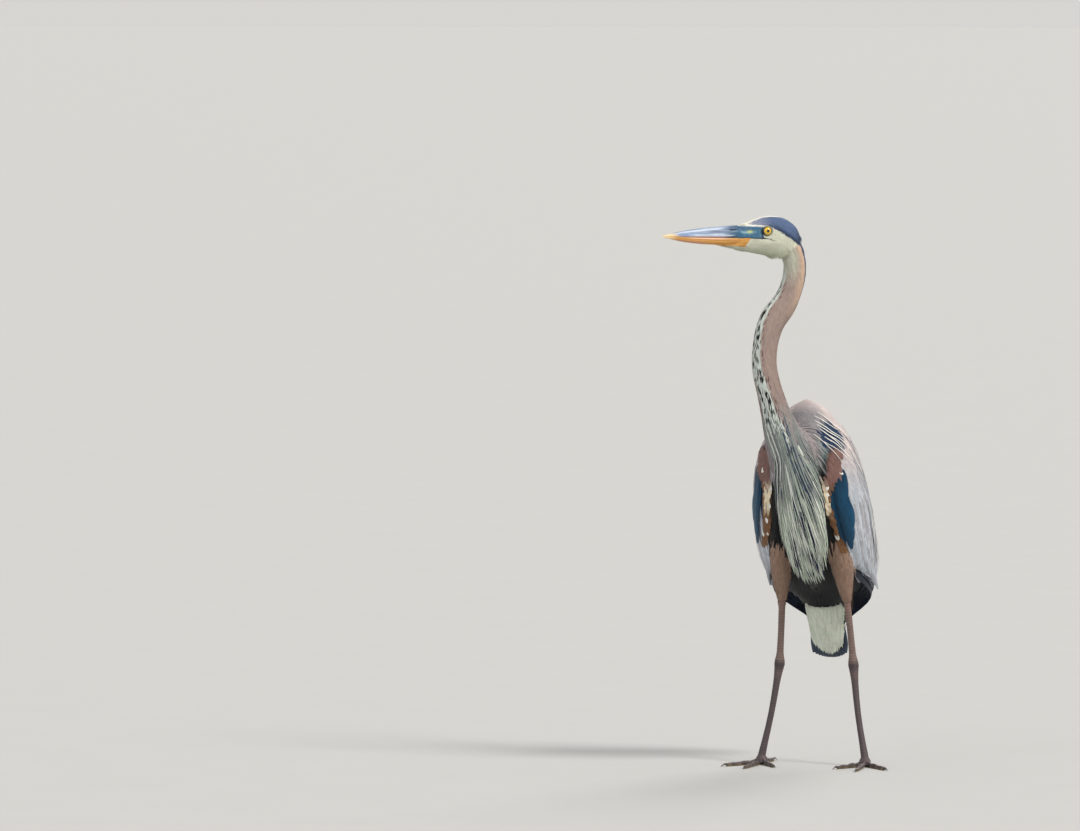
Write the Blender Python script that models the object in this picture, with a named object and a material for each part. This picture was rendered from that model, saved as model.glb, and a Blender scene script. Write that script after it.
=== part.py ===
"""A great blue heron standing alert, life size. Metres, +Z up, the floor at Z = 0.

The breast faces -Y and the bird's left side is at +X. The trunk stands steep on
straight legs, the wings are folded, the neck rises in its S and turns the head
to the bird's right. The origin is on the floor, at the centre of the bird's box.
"""

import math

import bmesh
import bpy
import numpy as np
from mathutils import Matrix, Vector

# ---------------------------------------------------------------- driving sizes
GAP = 0.0004  # between neighbours that meet
HEAD_TURN = math.radians(55)  # of the bill from the breast, to the bird's right
EYE_HEIGHT = 0.931
CULMEN = 0.140  # bill ridge from the forehead's feathers to the tip
SHOULDER_TOP = 0.640
ANKLE_HEIGHT = 0.172
TAIL_TIP = 0.175
SIDES = (("left", 1), ("right", -1))

# The trunk's axis in the plane X = 0, as (Y, Z): from the shoulders to the tail's tip.
BODY_AXIS = (
    (-0.068, SHOULDER_TOP),
    (-0.058, 0.520),
    (-0.010, 0.410),
    (0.062, 0.300),
    (0.118, TAIL_TIP),
)

# Outline of the feathered body with folded wings, as (share of the axis, reach from it).
BODY_SIDE = (
    (0, 0.004), (0.03, 0.034), (0.08, 0.059), (0.15, 0.082), (0.24, 0.097),
    (0.40, 0.106), (0.56, 0.107), (0.68, 0.101), (0.78, 0.086), (0.88, 0.058), (1, 0.022),
)
BODY_BACK = (
    (0, 0.004), (0.04, 0.034), (0.12, 0.056), (0.25, 0.073), (0.42, 0.078),
    (0.58, 0.068), (0.74, 0.047), (0.88, 0.026), (1, 0.009),
)
BODY_FRONT = (
    (0, 0.004), (0.04, 0.028), (0.12, 0.052), (0.25, 0.076), (0.40, 0.082),
    (0.56, 0.072), (0.70, 0.049), (0.86, 0.024), (1, 0.009),
)
# How far the trunk lies under that outline, at the flank, where the wings cover it.
WING_DEPTH = ((0, 0.0), (0.08, 0.003), (0.2, 0.012), (0.6, 0.014), (0.8, 0.008), (1, 0.004))
BACK_DEPTH, FRONT_DEPTH = 0.4, 0.6  # of WING_DEPTH, along the back and along the breast
WING_CLEAR = 0.0018  # between the trunk and the wings, whose flat facets differ

TRUNK_END = 0.77  # share of the axis where the tail leaves the trunk
COVERTS_END = 0.95  # share where the blunt end of the undertail coverts is
RUMP = ((0, 1), (0.58, 1), (0.66, 0.92), (0.72, 0.74), (TRUNK_END, 0.46))  # of the width, before the tail
WING_START, WING_SPLIT, WING_END = 0.085, 0.70, 0.93  # shares: shoulder, long quills, wing tip
# The wing's front edge and back edge, as degrees round the body from the breast's midline.
WING_LEAD = (
    (WING_START, 84), (0.10, 62), (0.13, 44), (0.18, 33), (0.25, 27), (0.38, 30),
    (0.52, 44), (0.66, 70), (0.80, 98), (0.89, 124), (WING_END, 156),
)
WING_TRAIL = ((WING_START, 112), (0.10, 130), (0.13, 146), (0.18, 162), (0.27, 174), (0.4, 178), (1, 178))

# The neck's centre line, from inside the breast to inside the head.
NECK_PATH = (
    (-0.006, -0.078, 0.505),
    (-0.027, -0.133, 0.578),
    (-0.044, -0.151, 0.645),
    (-0.057, -0.150, 0.706),
    (-0.050, -0.136, 0.768),
    (-0.027, -0.114, 0.811),
    (-0.015, -0.102, 0.862),
    (-0.022, -0.107, 0.905),
    (-0.040, -0.119, 0.931),
)
NECK_SIDE = (
    (0, 0.046), (0.11, 0.043), (0.21, 0.034), (0.29, 0.0265), (0.38, 0.0228),
    (0.52, 0.0222), (0.66, 0.0228), (0.77, 0.0200), (0.93, 0.0200), (1, 0.0160),
)
NECK_FRONT = (
    (0, 0.040), (0.11, 0.037), (0.21, 0.031), (0.29, 0.0265), (0.38, 0.0235),
    (0.52, 0.0230), (0.65, 0.0250), (0.77, 0.0205), (0.93, 0.0195), (1, 0.0160),
)
NECK_BACK = (
    (0, 0.040), (0.13, 0.036), (0.23, 0.030), (0.31, 0.0245), (0.40, 0.0225),
    (0.52, 0.0225), (0.65, 0.0245), (0.77, 0.0220), (0.91, 0.0210), (1, 0.0150),
)
NECK_CUTS = (0.0, 0.41, 0.66, 1.0)  # shares where its three lengths part
NECK_TURN = (0.19, 0.85)  # shares between which the throat turns from breast to bill

# The long plumes of the foreneck and breast, a bib down the front of the trunk.
BIB_PATH = (
    (-0.016, -0.128, 0.590),
    (-0.006, -0.128, 0.520),
    (0.000, -0.108, 0.440),
    (0.000, -0.062, 0.362),
    (0.000, 0.000, 0.305),
)
BIB_SIDE = ((0, 0.020), (0.15, 0.036), (0.4, 0.044), (0.65, 0.042), (0.85, 0.028), (1, 0.006))
BIB_DEPTH = ((0, 0.010), (0.2, 0.024), (0.45, 0.028), (0.7, 0.022), (0.9, 0.012), (1, 0.003))

# The head, in its own frame: forward of the eyes, and above them.
EYES_MIDDLE = Vector((-0.0623, -0.1347, EYE_HEIGHT))
FOREHEAD = 0.047  # where the feathers end on the bill's ridge
OCCIPUT = -0.066
HEAD_TOP = (
    (OCCIPUT, -0.008), (-0.062, 0.002), (-0.053, 0.0120), (-0.040, 0.0205), (-0.025, 0.0252),
    (-0.010, 0.0262), (0.004, 0.0248), (0.020, 0.0200), (0.034, 0.0150), (FOREHEAD, 0.0112),
)
HEAD_BOTTOM = (
    (OCCIPUT, -0.020), (-0.060, -0.034), (-0.046, -0.044), (-0.024, -0.0465),
    (0, -0.0430), (0.022, -0.0388), (FOREHEAD, -0.0345),
)
HEAD_SIDE = (
    (OCCIPUT, 0.004), (-0.061, 0.0135), (-0.047, 0.0202), (-0.026, 0.0228),
    (-0.004, 0.0212), (0.012, 0.0182), (0.030, 0.0148), (FOREHEAD, 0.0122),
)
HEAD_WAIST = -0.010  # height of the head's widest line, just under the eyes
EYE_RADIUS = 0.0092
EYE_OUT = 0.0132  # of the eyeball's centre from the head's middle

# The bill: ridge, gape and keel lines, as (forward of the eyes, above them).
BILL_TIP = FOREHEAD + CULMEN
RIDGE = (
    (FOREHEAD, 0.0108), (0.064, 0.0092), (0.107, 0.0062),
    (0.149, 0.0010), (0.172, -0.0040), (BILL_TIP, -0.0079),
)
GAPE = ((FOREHEAD, -0.0118), (0.107, -0.0106), (0.149, -0.0094), (BILL_TIP, -0.0083))
KEEL = (
    (FOREHEAD, -0.0240), (0.070, -0.0240), (0.107, -0.0226),
    (0.149, -0.0178), (0.172, -0.0128), (BILL_TIP, -0.0088),
)
BILL_SIDE = (
    (FOREHEAD, 0.0116), (0.080, 0.0096), (0.120, 0.0068),
    (0.150, 0.0044), (0.175, 0.0019), (BILL_TIP, 0.0003),
)
CHIN_END = 0.107  # the chin's feathers reach this far under the lower mandible
CHIN_LINE = ((FOREHEAD, -0.0344), (0.064, -0.0318), (0.086, -0.0280), (CHIN_END, -0.0236))
CHIN_SIDE = ((FOREHEAD, 0.0100), (0.086, 0.0060), (CHIN_END, 0.0016))

# The left leg; the right one mirrors it. Each path runs down, with (share, radius) sizes.
KNEE = Vector((0.046, -0.046, 0.430))
FEATHER_END = Vector((0.058, -0.009, 0.283))
ANKLE = Vector((0.066, 0.006, ANKLE_HEIGHT))
FOOT = Vector((0.092, -0.018, 0.0085))
THIGH_SIZE = ((0, 0.025), (0.25, 0.0245), (0.5, 0.0205), (0.72, 0.0165), (0.88, 0.0118), (1, 0.0078))
SHANK_SIZE = ((0, 0.0062), (0.5, 0.0058), (0.82, 0.0064), (0.93, 0.0090), (1, 0.0096))
TARSUS_SIZE = ((0, 0.0092), (0.07, 0.0078), (0.18, 0.0062), (0.6, 0.0055), (0.9, 0.0062), (1, 0.0072))
LEG_DEPTH = 1.1  # the bare leg's depth from front to back, of its width
FOOT_RADIUS = 0.0105
# Toes: heading in degrees outwards from straight ahead, length without the claw, claw's length.
TOES = (
    ("inner", -30, 0.070, 0.012),
    ("middle", 4, 0.094, 0.014),
    ("outer", 38, 0.078, 0.012),
    ("hind", 188, 0.054, 0.018),
)
TOE_RADIUS, TOE_TIP_RADIUS = 0.0052, 0.0034
SOLE_CUT = 0.0006  # the toes' undersides are worn flat by this much

COLOURS = {
    "slate": (0.075, 0.105, 0.150), "grey": (0.300, 0.310, 0.330), "fawn": (0.420, 0.330, 0.280),
    "white": (0.760, 0.750, 0.700), "rufous": (0.330, 0.200, 0.140), "bill_grey": (0.280, 0.330, 0.400),
    "ochre": (0.650, 0.400, 0.120), "leg": (0.085, 0.075, 0.090), "yellow": (0.850, 0.600, 0.040),
    "claw": (0.030, 0.028, 0.030),
}
GLOSSY = ("yellow", "claw", "bill_grey", "ochre")


# --------------------------------------------------------------------- curves
def glide(keys, at):
    """The value at a position on a smooth line through (position, value) keys, with no overshoot."""
    x, y = np.array(keys, float).T
    step, slope = np.diff(x), np.diff(y) / np.diff(x)
    tangent = np.zeros(len(x))
    tangent[0], tangent[-1] = slope[0], slope[-1]
    for k in range(1, len(x) - 1):
        if slope[k - 1] * slope[k] > 0:
            before, after = 2 * step[k] + step[k - 1], step[k] + 2 * step[k - 1]
            tangent[k] = (before + after) / (before / slope[k - 1] + after / slope[k])
    at = min(max(at, x[0]), x[-1])
    k = min(int(np.searchsorted(x, at, side="right")) - 1, len(x) - 2)
    t = (at - x[k]) / step[k]
    ends = (1 + 2 * t) * (1 - t) ** 2 * y[k] + t * t * (3 - 2 * t) * y[k + 1]
    turns = t * (1 - t) ** 2 * tangent[k] + t * t * (t - 1) * tangent[k + 1]
    return float(ends + step[k] * turns)


class Path:
    """A smooth curve through a few points, read by the share of its length, 0 to 1."""

    FINE = 40  # samples between two points

    def __init__(self, points):
        points = [Vector(p) for p in points]
        ends = [2 * points[0] - points[1], *points, 2 * points[-1] - points[-2]]
        self.line = [points[0]]
        for a, b, c, d in zip(ends, ends[1:], ends[2:], ends[3:]):
            for k in range(1, self.FINE + 1):
                t = k / self.FINE
                bend = (2 * a - 5 * b + 4 * c - d) * t**2 + (3 * b - a - 3 * c + d) * t**3
                self.line.append((2 * b + (c - a) * t + bend) / 2)
        lengths = [(q - p).length for p, q in zip(self.line, self.line[1:])]
        self.reached = np.concatenate([[0], np.cumsum(lengths)])
        self.length = float(self.reached[-1])

    def at(self, share):
        table = np.array(self.line)
        return Vector([np.interp(share * self.length, self.reached, table[:, i]) for i in range(3)])

    def heading(self, share):
        near = 0.01
        return (self.at(min(share + near, 1)) - self.at(max(share - near, 0))).normalized()


# --------------------------------------------------------------------- solids
def oval(centre, side, up, half_width, above, below, count, square=1.0):
    """A ring of points; square under 1 makes the oval boxier."""
    points = []
    for k in range(count):
        turn = 2 * math.pi * k / count
        c, s = math.cos(turn), math.sin(turn)
        x = half_width * math.copysign(abs(c) ** square, c)
        y = (above if s > 0 else below) * math.copysign(abs(s) ** square, s)
        points.append(centre + side * x + up * y)
    return points


def half_oval(centre, side, up, half_width, reach, count, square=1.0):
    """The D-shaped ring on one side of the centre: above it, or below where reach is negative."""
    points = []
    for k in range(count):
        turn = math.pi * k / (count - 1)
        x = half_width * math.copysign(abs(math.cos(turn)) ** square, math.cos(turn))
        points.append(centre + side * x + up * reach * math.sin(turn) ** square)
    return points


def loft(name, rings, colour):
    """A closed solid through rings of like count, with flat ends, its quads all split the same way."""
    bm = bmesh.new()
    rows = [[bm.verts.new(p) for p in ring] for ring in rings]
    for a, b in zip(rows, rows[1:]):
        for k in range(len(a)):
            n = (k + 1) % len(a)
            bm.faces.new((a[k], a[n], b[n]))
            bm.faces.new((a[k], b[n], b[k]))
    for row in (rows[0], rows[-1]):
        bm.faces.new(row)
    bmesh.ops.recalc_face_normals(bm, faces=bm.faces)
    mesh = bpy.data.meshes.new(name)
    bm.to_mesh(mesh)
    bm.free()
    mesh.shade_smooth()
    mesh.set_sharp_from_angle(angle=math.radians(50))
    mesh.materials.append(material(colour))
    piece = bpy.data.objects.new(name, mesh)
    parts.objects.link(piece)
    return piece


def tube(name, path, size, colour, shares, sides, flatten=1.0):
    """A round limb down a path, with level ends; flatten over 1 makes it deeper from front to back."""
    across = Vector((1, 0, 0))
    rings = []
    for share in shares:
        heading = Vector((0, 0, -1)) if share in (0, 1) else path.heading(share)
        deep = heading.cross(across).normalized()
        radius = glide(size, share)
        reach = radius * flatten
        rings.append(oval(path.at(share), deep.cross(heading), deep, radius, reach, reach, sides))
    return loft(name, rings, colour)


def steps(first, last, count):
    return [first + (last - first) * k / (count - 1) for k in range(count)]


def material(colour):
    made = bpy.data.materials.get(colour)
    if made is None:
        made = bpy.data.materials.new(colour)
        made.use_nodes = True
        shader = made.node_tree.nodes["Principled BSDF"]
        shader.inputs["Base Color"].default_value = (*COLOURS[colour], 1)
        shader.inputs["Roughness"].default_value = 0.4 if colour in GLOSSY else 0.8
        shader.inputs["Metallic"].default_value = 0.0
    return made


def combine(piece, other, operation):
    modifier = piece.modifiers.new(operation.title(), "BOOLEAN")
    modifier.operation = operation
    modifier.object = other
    modifier.solver = "EXACT"


def as_cutter(piece):
    parts.objects.unlink(piece)
    cutters.objects.link(piece)
    piece.hide_render = True
    piece.display_type = "WIRE"
    return piece


# ------------------------------------------------------------ trunk, wings, tail
def body_frame(share):
    """Centre of the body's section, its side axis and the way to the back."""
    heading = body_axis.heading(share)
    side = Vector((1, 0, 0))
    return body_axis.at(share), side, side.cross(heading).normalized()


def trunk_reach(share):
    """The trunk's half width, and its reach to the back and to the front."""
    depth = glide(WING_DEPTH, share)
    return (
        glide(BODY_SIDE, share) - depth,
        glide(BODY_BACK, share) - depth * BACK_DEPTH,
        glide(BODY_FRONT, share) - depth * FRONT_DEPTH,
    )


def make_trunk(name, margin=0.0):
    rings = []
    for share in [0.0, 0.008, 0.02, *steps(0.04, 0.62, 11), *steps(0.66, TRUNK_END, 5)]:
        centre, side, back = body_frame(share)
        half, behind, ahead = trunk_reach(share)
        half *= glide(RUMP, share)
        rings.append(oval(centre, side, back, half + margin, behind + margin, ahead + margin, 24))
    return loft(name, rings, "grey")


def round_body(share, degrees, half, behind, ahead, sign):
    """A point of the body's section, by its angle from the breast's midline."""
    centre, side, back = body_frame(share)
    turn = math.radians(degrees)
    reach = ahead if degrees < 90 else behind
    return centre + side * sign * half * math.sin(turn) - back * reach * math.cos(turn)


def wing_rings(shares, sign, margin=0.0, deep=0.0):
    """Rings of the folded wing: out over the body's outline, and back under it along the trunk.

    A cutter for the wing's neighbours has a margin, and reaches deep into the trunk.
    """
    across = 11
    rings = []
    for share in shares:
        spread = math.degrees(margin / glide(BODY_BACK, share))
        lead, trail = glide(WING_LEAD, share) - spread, glide(WING_TRAIL, share) + spread
        trunk = [reach + WING_CLEAR for reach in trunk_reach(share)]
        full = [glide(keys, share) for keys in (BODY_SIDE, BODY_BACK, BODY_FRONT)]
        end = min(1.0, (share - WING_START) / 0.06 + 0.35)
        over, under, buried = [], [], []
        for k in range(across):
            v = k / (across - 1)
            degrees = lead + (trail - lead) * v
            swell = end * (0.35 + 0.65 * math.sin(math.pi * v) ** 0.6)
            least = 0.0012 + margin
            outer = [i + max(least, (f - i) * swell + margin) for f, i in zip(full, trunk)]
            over.append(round_body(share, degrees, *outer, sign))
            under.append(round_body(share, degrees, *trunk, sign))
            buried.append(round_body(share, degrees, *(i - deep for i in trunk), sign))
        if deep:
            under = [under[0], *buried, under[-1]]
        rings.append(over + under[::-1])
    return rings


def make_wing(word, sign):
    arm = [WING_START, 0.096, 0.114, 0.142, *steps(0.18, WING_SPLIT, 10)]
    quills = [*steps(WING_SPLIT + 0.001, 0.89, 5), 0.914, WING_END]
    loft("wing_" + word, wing_rings(arm, sign), "grey")
    loft("flight_feathers_" + word, wing_rings(quills, sign), "slate")
    whole = [WING_START - 0.004, *arm, *quills[1:], WING_END + 0.002]
    cutter = loft("wing_room_" + word, wing_rings(whole, sign, GAP, 0.012), "grey")
    return as_cutter(cutter)


def make_tail():
    """The tail fan, with the pale coverts under it."""
    inside = 0.0016  # clear of the wings' inner faces
    fan, coverts = [], []
    for share in [*steps(TRUNK_END + 0.001, 0.92, 6), 0.938, 0.948, 0.97, 1.0]:
        centre, side, back = body_frame(share)
        half, behind, ahead = (reach - inside for reach in trunk_reach(share))
        half = min(half, 0.036)
        fan.append(half_oval(centre + back * GAP / 2, side, back, half, max(behind, 0.004), 11))
        if share < COVERTS_END:
            blunt = math.sqrt(1 - ((share - TRUNK_END) / (COVERTS_END - TRUNK_END)) ** 4)
            depth = max(ahead * blunt, 0.003)
            coverts.append(half_oval(centre - back * GAP / 2, side, back, half * blunt, -depth, 11))
    loft("tail", fan, "slate")
    loft("undertail_coverts", coverts, "white")


# ------------------------------------------------------------------ neck, breast
def throat_way(share):
    """The way the throat faces: as the breast low on the neck, and as the bill at the head."""
    low, high = NECK_TURN
    t = min(max((share - low) / (high - low), 0), 1)
    turn = HEAD_TURN * t * t * (3 - 2 * t)
    return Vector((-math.sin(turn), -math.cos(turn), 0))


def neck_ring(path, share, margin=0.0, sides=16):
    heading = path.heading(share)
    front = throat_way(share)
    front = (front - heading * front.dot(heading)).normalized()
    side = front.cross(heading)
    reach = [glide(keys, share) + margin for keys in (NECK_SIDE, NECK_FRONT, NECK_BACK)]
    return oval(path.at(share), side, front, *reach, sides)


def make_neck(rooms, head_room):
    path = Path(NECK_PATH)
    clear = GAP / 2 / path.length
    words = ("neck_lower", "neck_middle", "neck_upper")
    for word, first, last, count in zip(words, NECK_CUTS, NECK_CUTS[1:], (11, 9, 11)):
        shares = steps(first + clear, last - clear, count)
        piece = loft(word, [neck_ring(path, share) for share in shares], "fawn")
        if word == "neck_lower":
            for room in rooms:
                combine(piece, room, "DIFFERENCE")
        if word == "neck_upper":
            combine(piece, head_room, "DIFFERENCE")
    whole = [neck_ring(path, share, GAP) for share in steps(0, 0.5, 16)]
    return as_cutter(loft("neck_room", whole, "fawn"))


def make_bib(rooms):
    path = Path(BIB_PATH)
    rings = []
    for share in steps(0, 1, 13):
        heading = path.heading(share)
        side = Vector((1, 0, 0))
        front = heading.cross(side).normalized()
        half, deep = glide(BIB_SIDE, share), glide(BIB_DEPTH, share)
        rings.append(oval(path.at(share), side, front, half, deep, deep, 16))
    piece = loft("breast_plumes", rings, "grey")
    for room in rooms:
        combine(piece, room, "DIFFERENCE")


# ----------------------------------------------------------------------- head
def head_point(forward, across, up):
    return EYES_MIDDLE + bill_way * forward + head_left * across + Vector((0, 0, up))


def head_rings(margin=0.0):
    rings = []
    for forward in [OCCIPUT, *steps(-0.064, -0.052, 3), *steps(-0.042, FOREHEAD, 10)]:
        centre = head_point(forward, 0, HEAD_WAIST)
        above = max(glide(HEAD_TOP, forward) - HEAD_WAIST, 0.003) + margin
        below = max(HEAD_WAIST - glide(HEAD_BOTTOM, forward), 0.003) + margin
        half = glide(HEAD_SIDE, forward) + margin
        rings.append(oval(centre, head_left, Vector((0, 0, 1)), half, above, below, 20, 0.92))
    return rings


def make_eye(word, sign, radius, margin=0.0):
    bpy.ops.mesh.primitive_uv_sphere_add(segments=12, ring_count=8, radius=radius + margin)
    eye = bpy.context.object
    bpy.context.collection.objects.unlink(eye)
    parts.objects.link(eye)
    eye.name = eye.data.name = word
    eye.location = head_point(0, sign * EYE_OUT, 0)
    eye.rotation_euler = (math.pi / 2, 0, math.atan2(head_left.y, head_left.x) + math.pi / 2)
    eye.data.shade_smooth()
    eye.data.materials.append(material("yellow"))
    return eye


def make_head():
    head = loft("head", head_rings(), "white")
    for word, sign in SIDES:
        make_eye("eye_" + word, sign, EYE_RADIUS)
        combine(head, as_cutter(make_eye("eye_room_" + word, sign, EYE_RADIUS, GAP)), "DIFFERENCE")
    return as_cutter(loft("head_room", head_rings(GAP), "white"))


def make_bill():
    up = Vector((0, 0, 1))
    upper, lower, chin = [], [], []
    for forward in [*steps(FOREHEAD + GAP, 0.165, 8), 0.178, 0.184, BILL_TIP]:
        gape, half = glide(GAPE, forward), glide(BILL_SIDE, forward)
        ridge = max(glide(RIDGE, forward) - gape, 0.0008)
        keel = min(glide(KEEL, forward) - gape, -0.0008)
        upper.append(half_oval(head_point(forward, 0, gape + GAP / 2), head_left, up, half, ridge, 9, 0.9))
        under = head_point(forward, 0, gape - GAP / 2)
        lower.append(half_oval(under, head_left, up, half * 0.94, keel + GAP, 9, 0.85))
    for forward in steps(FOREHEAD + GAP, CHIN_END, 6):
        top = glide(KEEL, forward) - GAP
        depth = min(glide(CHIN_LINE, forward) - top, -0.0008)
        half = glide(CHIN_SIDE, forward)
        chin.append(half_oval(head_point(forward, 0, top), head_left, up, half, depth, 9))
    loft("bill_upper", upper, "bill_grey")
    loft("bill_lower", lower, "ochre")
    loft("chin", chin, "white")


# ----------------------------------------------------------------------- legs
def mirrored(point, sign):
    return Vector((point.x * sign, point.y, point.z))


def make_leg(word, sign, rooms):
    knee, feathers, ankle, foot = (mirrored(p, sign) for p in (KNEE, FEATHER_END, ANKLE, FOOT))
    bend = feathers.lerp(knee, 0.5) + Vector((sign * 0.002, -0.005, 0))
    femur = Path((knee, bend, feathers))
    thigh = tube("thigh_" + word, femur, THIGH_SIZE, "rufous", steps(0, 1, 8), 12, 1.25)
    for room in rooms:
        combine(thigh, room, "DIFFERENCE")
    down = Vector((0, 0, -GAP))
    ankle_back = Vector((0, 0.002, 0))
    shank = Path((feathers + down, feathers.lerp(ankle, 0.5) + ankle_back, ankle))
    tube("shank_" + word, shank, SHANK_SIZE, "leg", [*steps(0, 0.8, 5), 0.87, 0.93, 0.97, 1], 10, LEG_DEPTH)
    middle = ankle.lerp(foot, 0.5) + Vector((sign * -0.002, -0.001, 0))
    tarsus = Path((ankle + down, middle, foot + Vector((0, 0, FOOT_RADIUS * 0.6))))
    stations = [0, 0.03, 0.07, 0.12, *steps(0.2, 1, 6)]
    bone = tube("tarsus_" + word, tarsus, TARSUS_SIZE, "leg", stations, 10, LEG_DEPTH)
    combine(bone, make_foot(word, sign, foot), "DIFFERENCE")


def toe_rings(root, heading, length, sides=8):
    """Rings from the pad's middle to the toe's end, swelling at the three joint pads."""
    side = Vector((0, 0, 1)).cross(heading)
    rings = []
    for share in steps(0, 1, 7):
        radius = TOE_RADIUS + (TOE_TIP_RADIUS - TOE_RADIUS) * share
        radius *= 1 + 0.10 * math.cos(2 * math.pi * (3 * share - 0.5))
        lift = radius - SOLE_CUT
        centre = Vector((root.x, root.y, lift)) + heading * length * share
        rings.append(oval(centre, side, Vector((0, 0, 1)), radius, radius, radius, sides))
    return rings


def claw_rings(root, heading, length, sides=6):
    """A tapering hook that dips to just above the floor."""
    side = Vector((0, 0, 1)).cross(heading)
    rings = []
    for share in steps(0, 1, 5):
        radius = TOE_TIP_RADIUS * 0.72 * (1 - share) ** 0.8 + 0.00035
        lift = root.z + 0.0010 * math.sin(math.pi * share) - (root.z - 0.0006) * share**1.6
        centre = Vector((root.x, root.y, max(lift, radius + 0.0003))) + heading * length * share
        rings.append(oval(centre, side, Vector((0, 0, 1)), radius * 0.8, radius, radius, sides))
    return rings


def make_foot(word, sign, foot):
    """The pad with its toes as one solid, cut flat along the floor, and a claw on each toe."""
    bpy.ops.mesh.primitive_uv_sphere_add(segments=12, ring_count=7, radius=FOOT_RADIUS)
    pad = bpy.context.object
    bpy.context.collection.objects.unlink(pad)
    parts.objects.link(pad)
    pad.name = pad.data.name = "foot_" + word
    pad.data.transform(Matrix.Diagonal((1, 1.05, 0.86, 1)))
    pad.location = (foot.x, foot.y, FOOT_RADIUS * 0.86 - SOLE_CUT)
    pad.data.shade_smooth()
    pad.data.materials.append(material("leg"))
    for toe, degrees, length, claw in TOES:
        turn = math.radians(degrees) * sign
        heading = Vector((math.sin(turn), -math.cos(turn), 0))
        digit = loft(f"toe_room_{toe}_{word}", toe_rings(foot, heading, length), "leg")
        combine(pad, as_cutter(digit), "UNION")
        root = Vector((foot.x, foot.y, TOE_TIP_RADIUS - SOLE_CUT / 2)) + heading * (length + GAP)
        loft(f"claw_{toe}_{word}", claw_rings(root, heading, claw), "claw")
    combine(pad, floor_room, "DIFFERENCE")
    whole = pad.copy()
    whole.name = "foot_room_" + word
    cutters.objects.link(whole)
    whole.hide_render = True
    whole.display_type = "WIRE"
    whole.scale = (1.04, 1.04, 1.04)
    return whole


def make_floor_room():
    bpy.ops.mesh.primitive_cube_add(size=1, location=(0, 0, -0.5))
    room = bpy.context.object
    bpy.context.collection.objects.unlink(room)
    parts.objects.link(room)
    room.name = "floor_room"
    return as_cutter(room)


# --------------------------------------------------------------------- whole
def stand_on_origin():
    """Moves the whole bird level, so that the origin is under the middle of its box."""
    bpy.context.view_layer.update()
    graph = bpy.context.evaluated_depsgraph_get()
    corners = []
    for piece in parts.objects:
        seen = piece.evaluated_get(graph)
        corners += [seen.matrix_world @ vertex.co for vertex in seen.data.vertices]
    spans = [(min(c[i] for c in corners), max(c[i] for c in corners)) for i in range(2)]
    shift = Vector((-sum(spans[0]) / 2, -sum(spans[1]) / 2, 0))
    for piece in [*parts.objects, *cutters.objects]:
        piece.location += shift


for old in list(bpy.data.objects):
    bpy.data.objects.remove(old)
parts = bpy.data.collections.new("heron")
cutters = bpy.data.collections.new("cutters")
for collection in (parts, cutters):
    bpy.context.scene.collection.children.link(collection)

body_axis = Path([(0, y, z) for y, z in BODY_AXIS])
bill_way = Vector((-math.sin(HEAD_TURN), -math.cos(HEAD_TURN), 0))
head_left = Vector((0, 0, 1)).cross(bill_way)

floor_room = make_floor_room()
make_trunk("trunk")
trunk_room = as_cutter(make_trunk("trunk_room", GAP))
wing_rooms = [make_wing(word, sign) for word, sign in SIDES]
make_tail()
head_room = make_head()
make_bill()
neck_room = make_neck([trunk_room, *wing_rooms], head_room)
make_bib([trunk_room, neck_room, *wing_rooms])
for word, sign in SIDES:
    make_leg(word, sign, [trunk_room, *wing_rooms])
stand_on_origin()
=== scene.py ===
"""The looks of a great blue heron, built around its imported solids.

One skin lies under the plumage. Solid vanes grow from it in the lie of the coat: small
tufts on the head and neck, contour feathers on the body, long plumes on the breast and
shoulders, and single quills in the wings and tail. The bill, eyes, bare legs and claws
are pieces of their own. Metres, +Z up, breast towards -Y, the bird's left at +X.
"""

import contextlib
import math

import bmesh
import bpy
import numpy as np
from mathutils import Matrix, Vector
from mathutils.bvhtree import BVHTree


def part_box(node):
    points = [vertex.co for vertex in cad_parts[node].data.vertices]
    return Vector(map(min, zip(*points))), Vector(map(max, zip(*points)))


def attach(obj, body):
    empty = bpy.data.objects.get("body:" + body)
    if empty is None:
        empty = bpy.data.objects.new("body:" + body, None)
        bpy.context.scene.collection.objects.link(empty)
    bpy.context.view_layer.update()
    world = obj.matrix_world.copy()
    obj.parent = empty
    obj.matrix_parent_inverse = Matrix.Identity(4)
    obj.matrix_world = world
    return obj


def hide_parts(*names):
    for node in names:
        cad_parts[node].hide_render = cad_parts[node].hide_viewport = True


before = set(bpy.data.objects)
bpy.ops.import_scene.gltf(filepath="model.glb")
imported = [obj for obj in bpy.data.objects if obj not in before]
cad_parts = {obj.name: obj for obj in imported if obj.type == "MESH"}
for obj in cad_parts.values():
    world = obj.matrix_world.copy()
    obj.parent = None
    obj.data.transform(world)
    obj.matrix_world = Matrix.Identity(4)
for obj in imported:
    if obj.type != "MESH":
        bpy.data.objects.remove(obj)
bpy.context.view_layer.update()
SIDES = (("left", 1.0), ("right", -1.0))
UP = np.array([0.0, 0.0, 1.0])
AHEAD = np.array([0.0, -1.0, 0.0])


# ------------------------------------------------------------------- arithmetic
def unit(vectors):
    vectors = np.asarray(vectors, float)
    return vectors / np.maximum(np.linalg.norm(vectors, axis=-1, keepdims=True), 1e-12)


def dot(a, b):
    return (a * b).sum(-1)


def ramp(x, low, high):
    """0 below low, 1 above high, and smooth between."""
    t = np.clip((np.asarray(x, float) - low) / (high - low), 0, 1)
    return t * t * (3 - 2 * t)


def hump(x, low, rise, fall, high):
    """0 outside low to high, and 1 between rise and fall."""
    return ramp(x, low, rise) * (1 - ramp(x, fall, high))


def bell(x, middle, width):
    return np.exp(-(((x - middle) / width) ** 2))


def between(a, b, share):
    return a + (b - a) * share


def mix(a, b, share):
    """Colours from a to b, for one share or for one share per point."""
    share = np.asarray(share, float)
    if share.ndim:
        share = share[..., None]
    return a * (1 - share) + b * share


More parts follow.
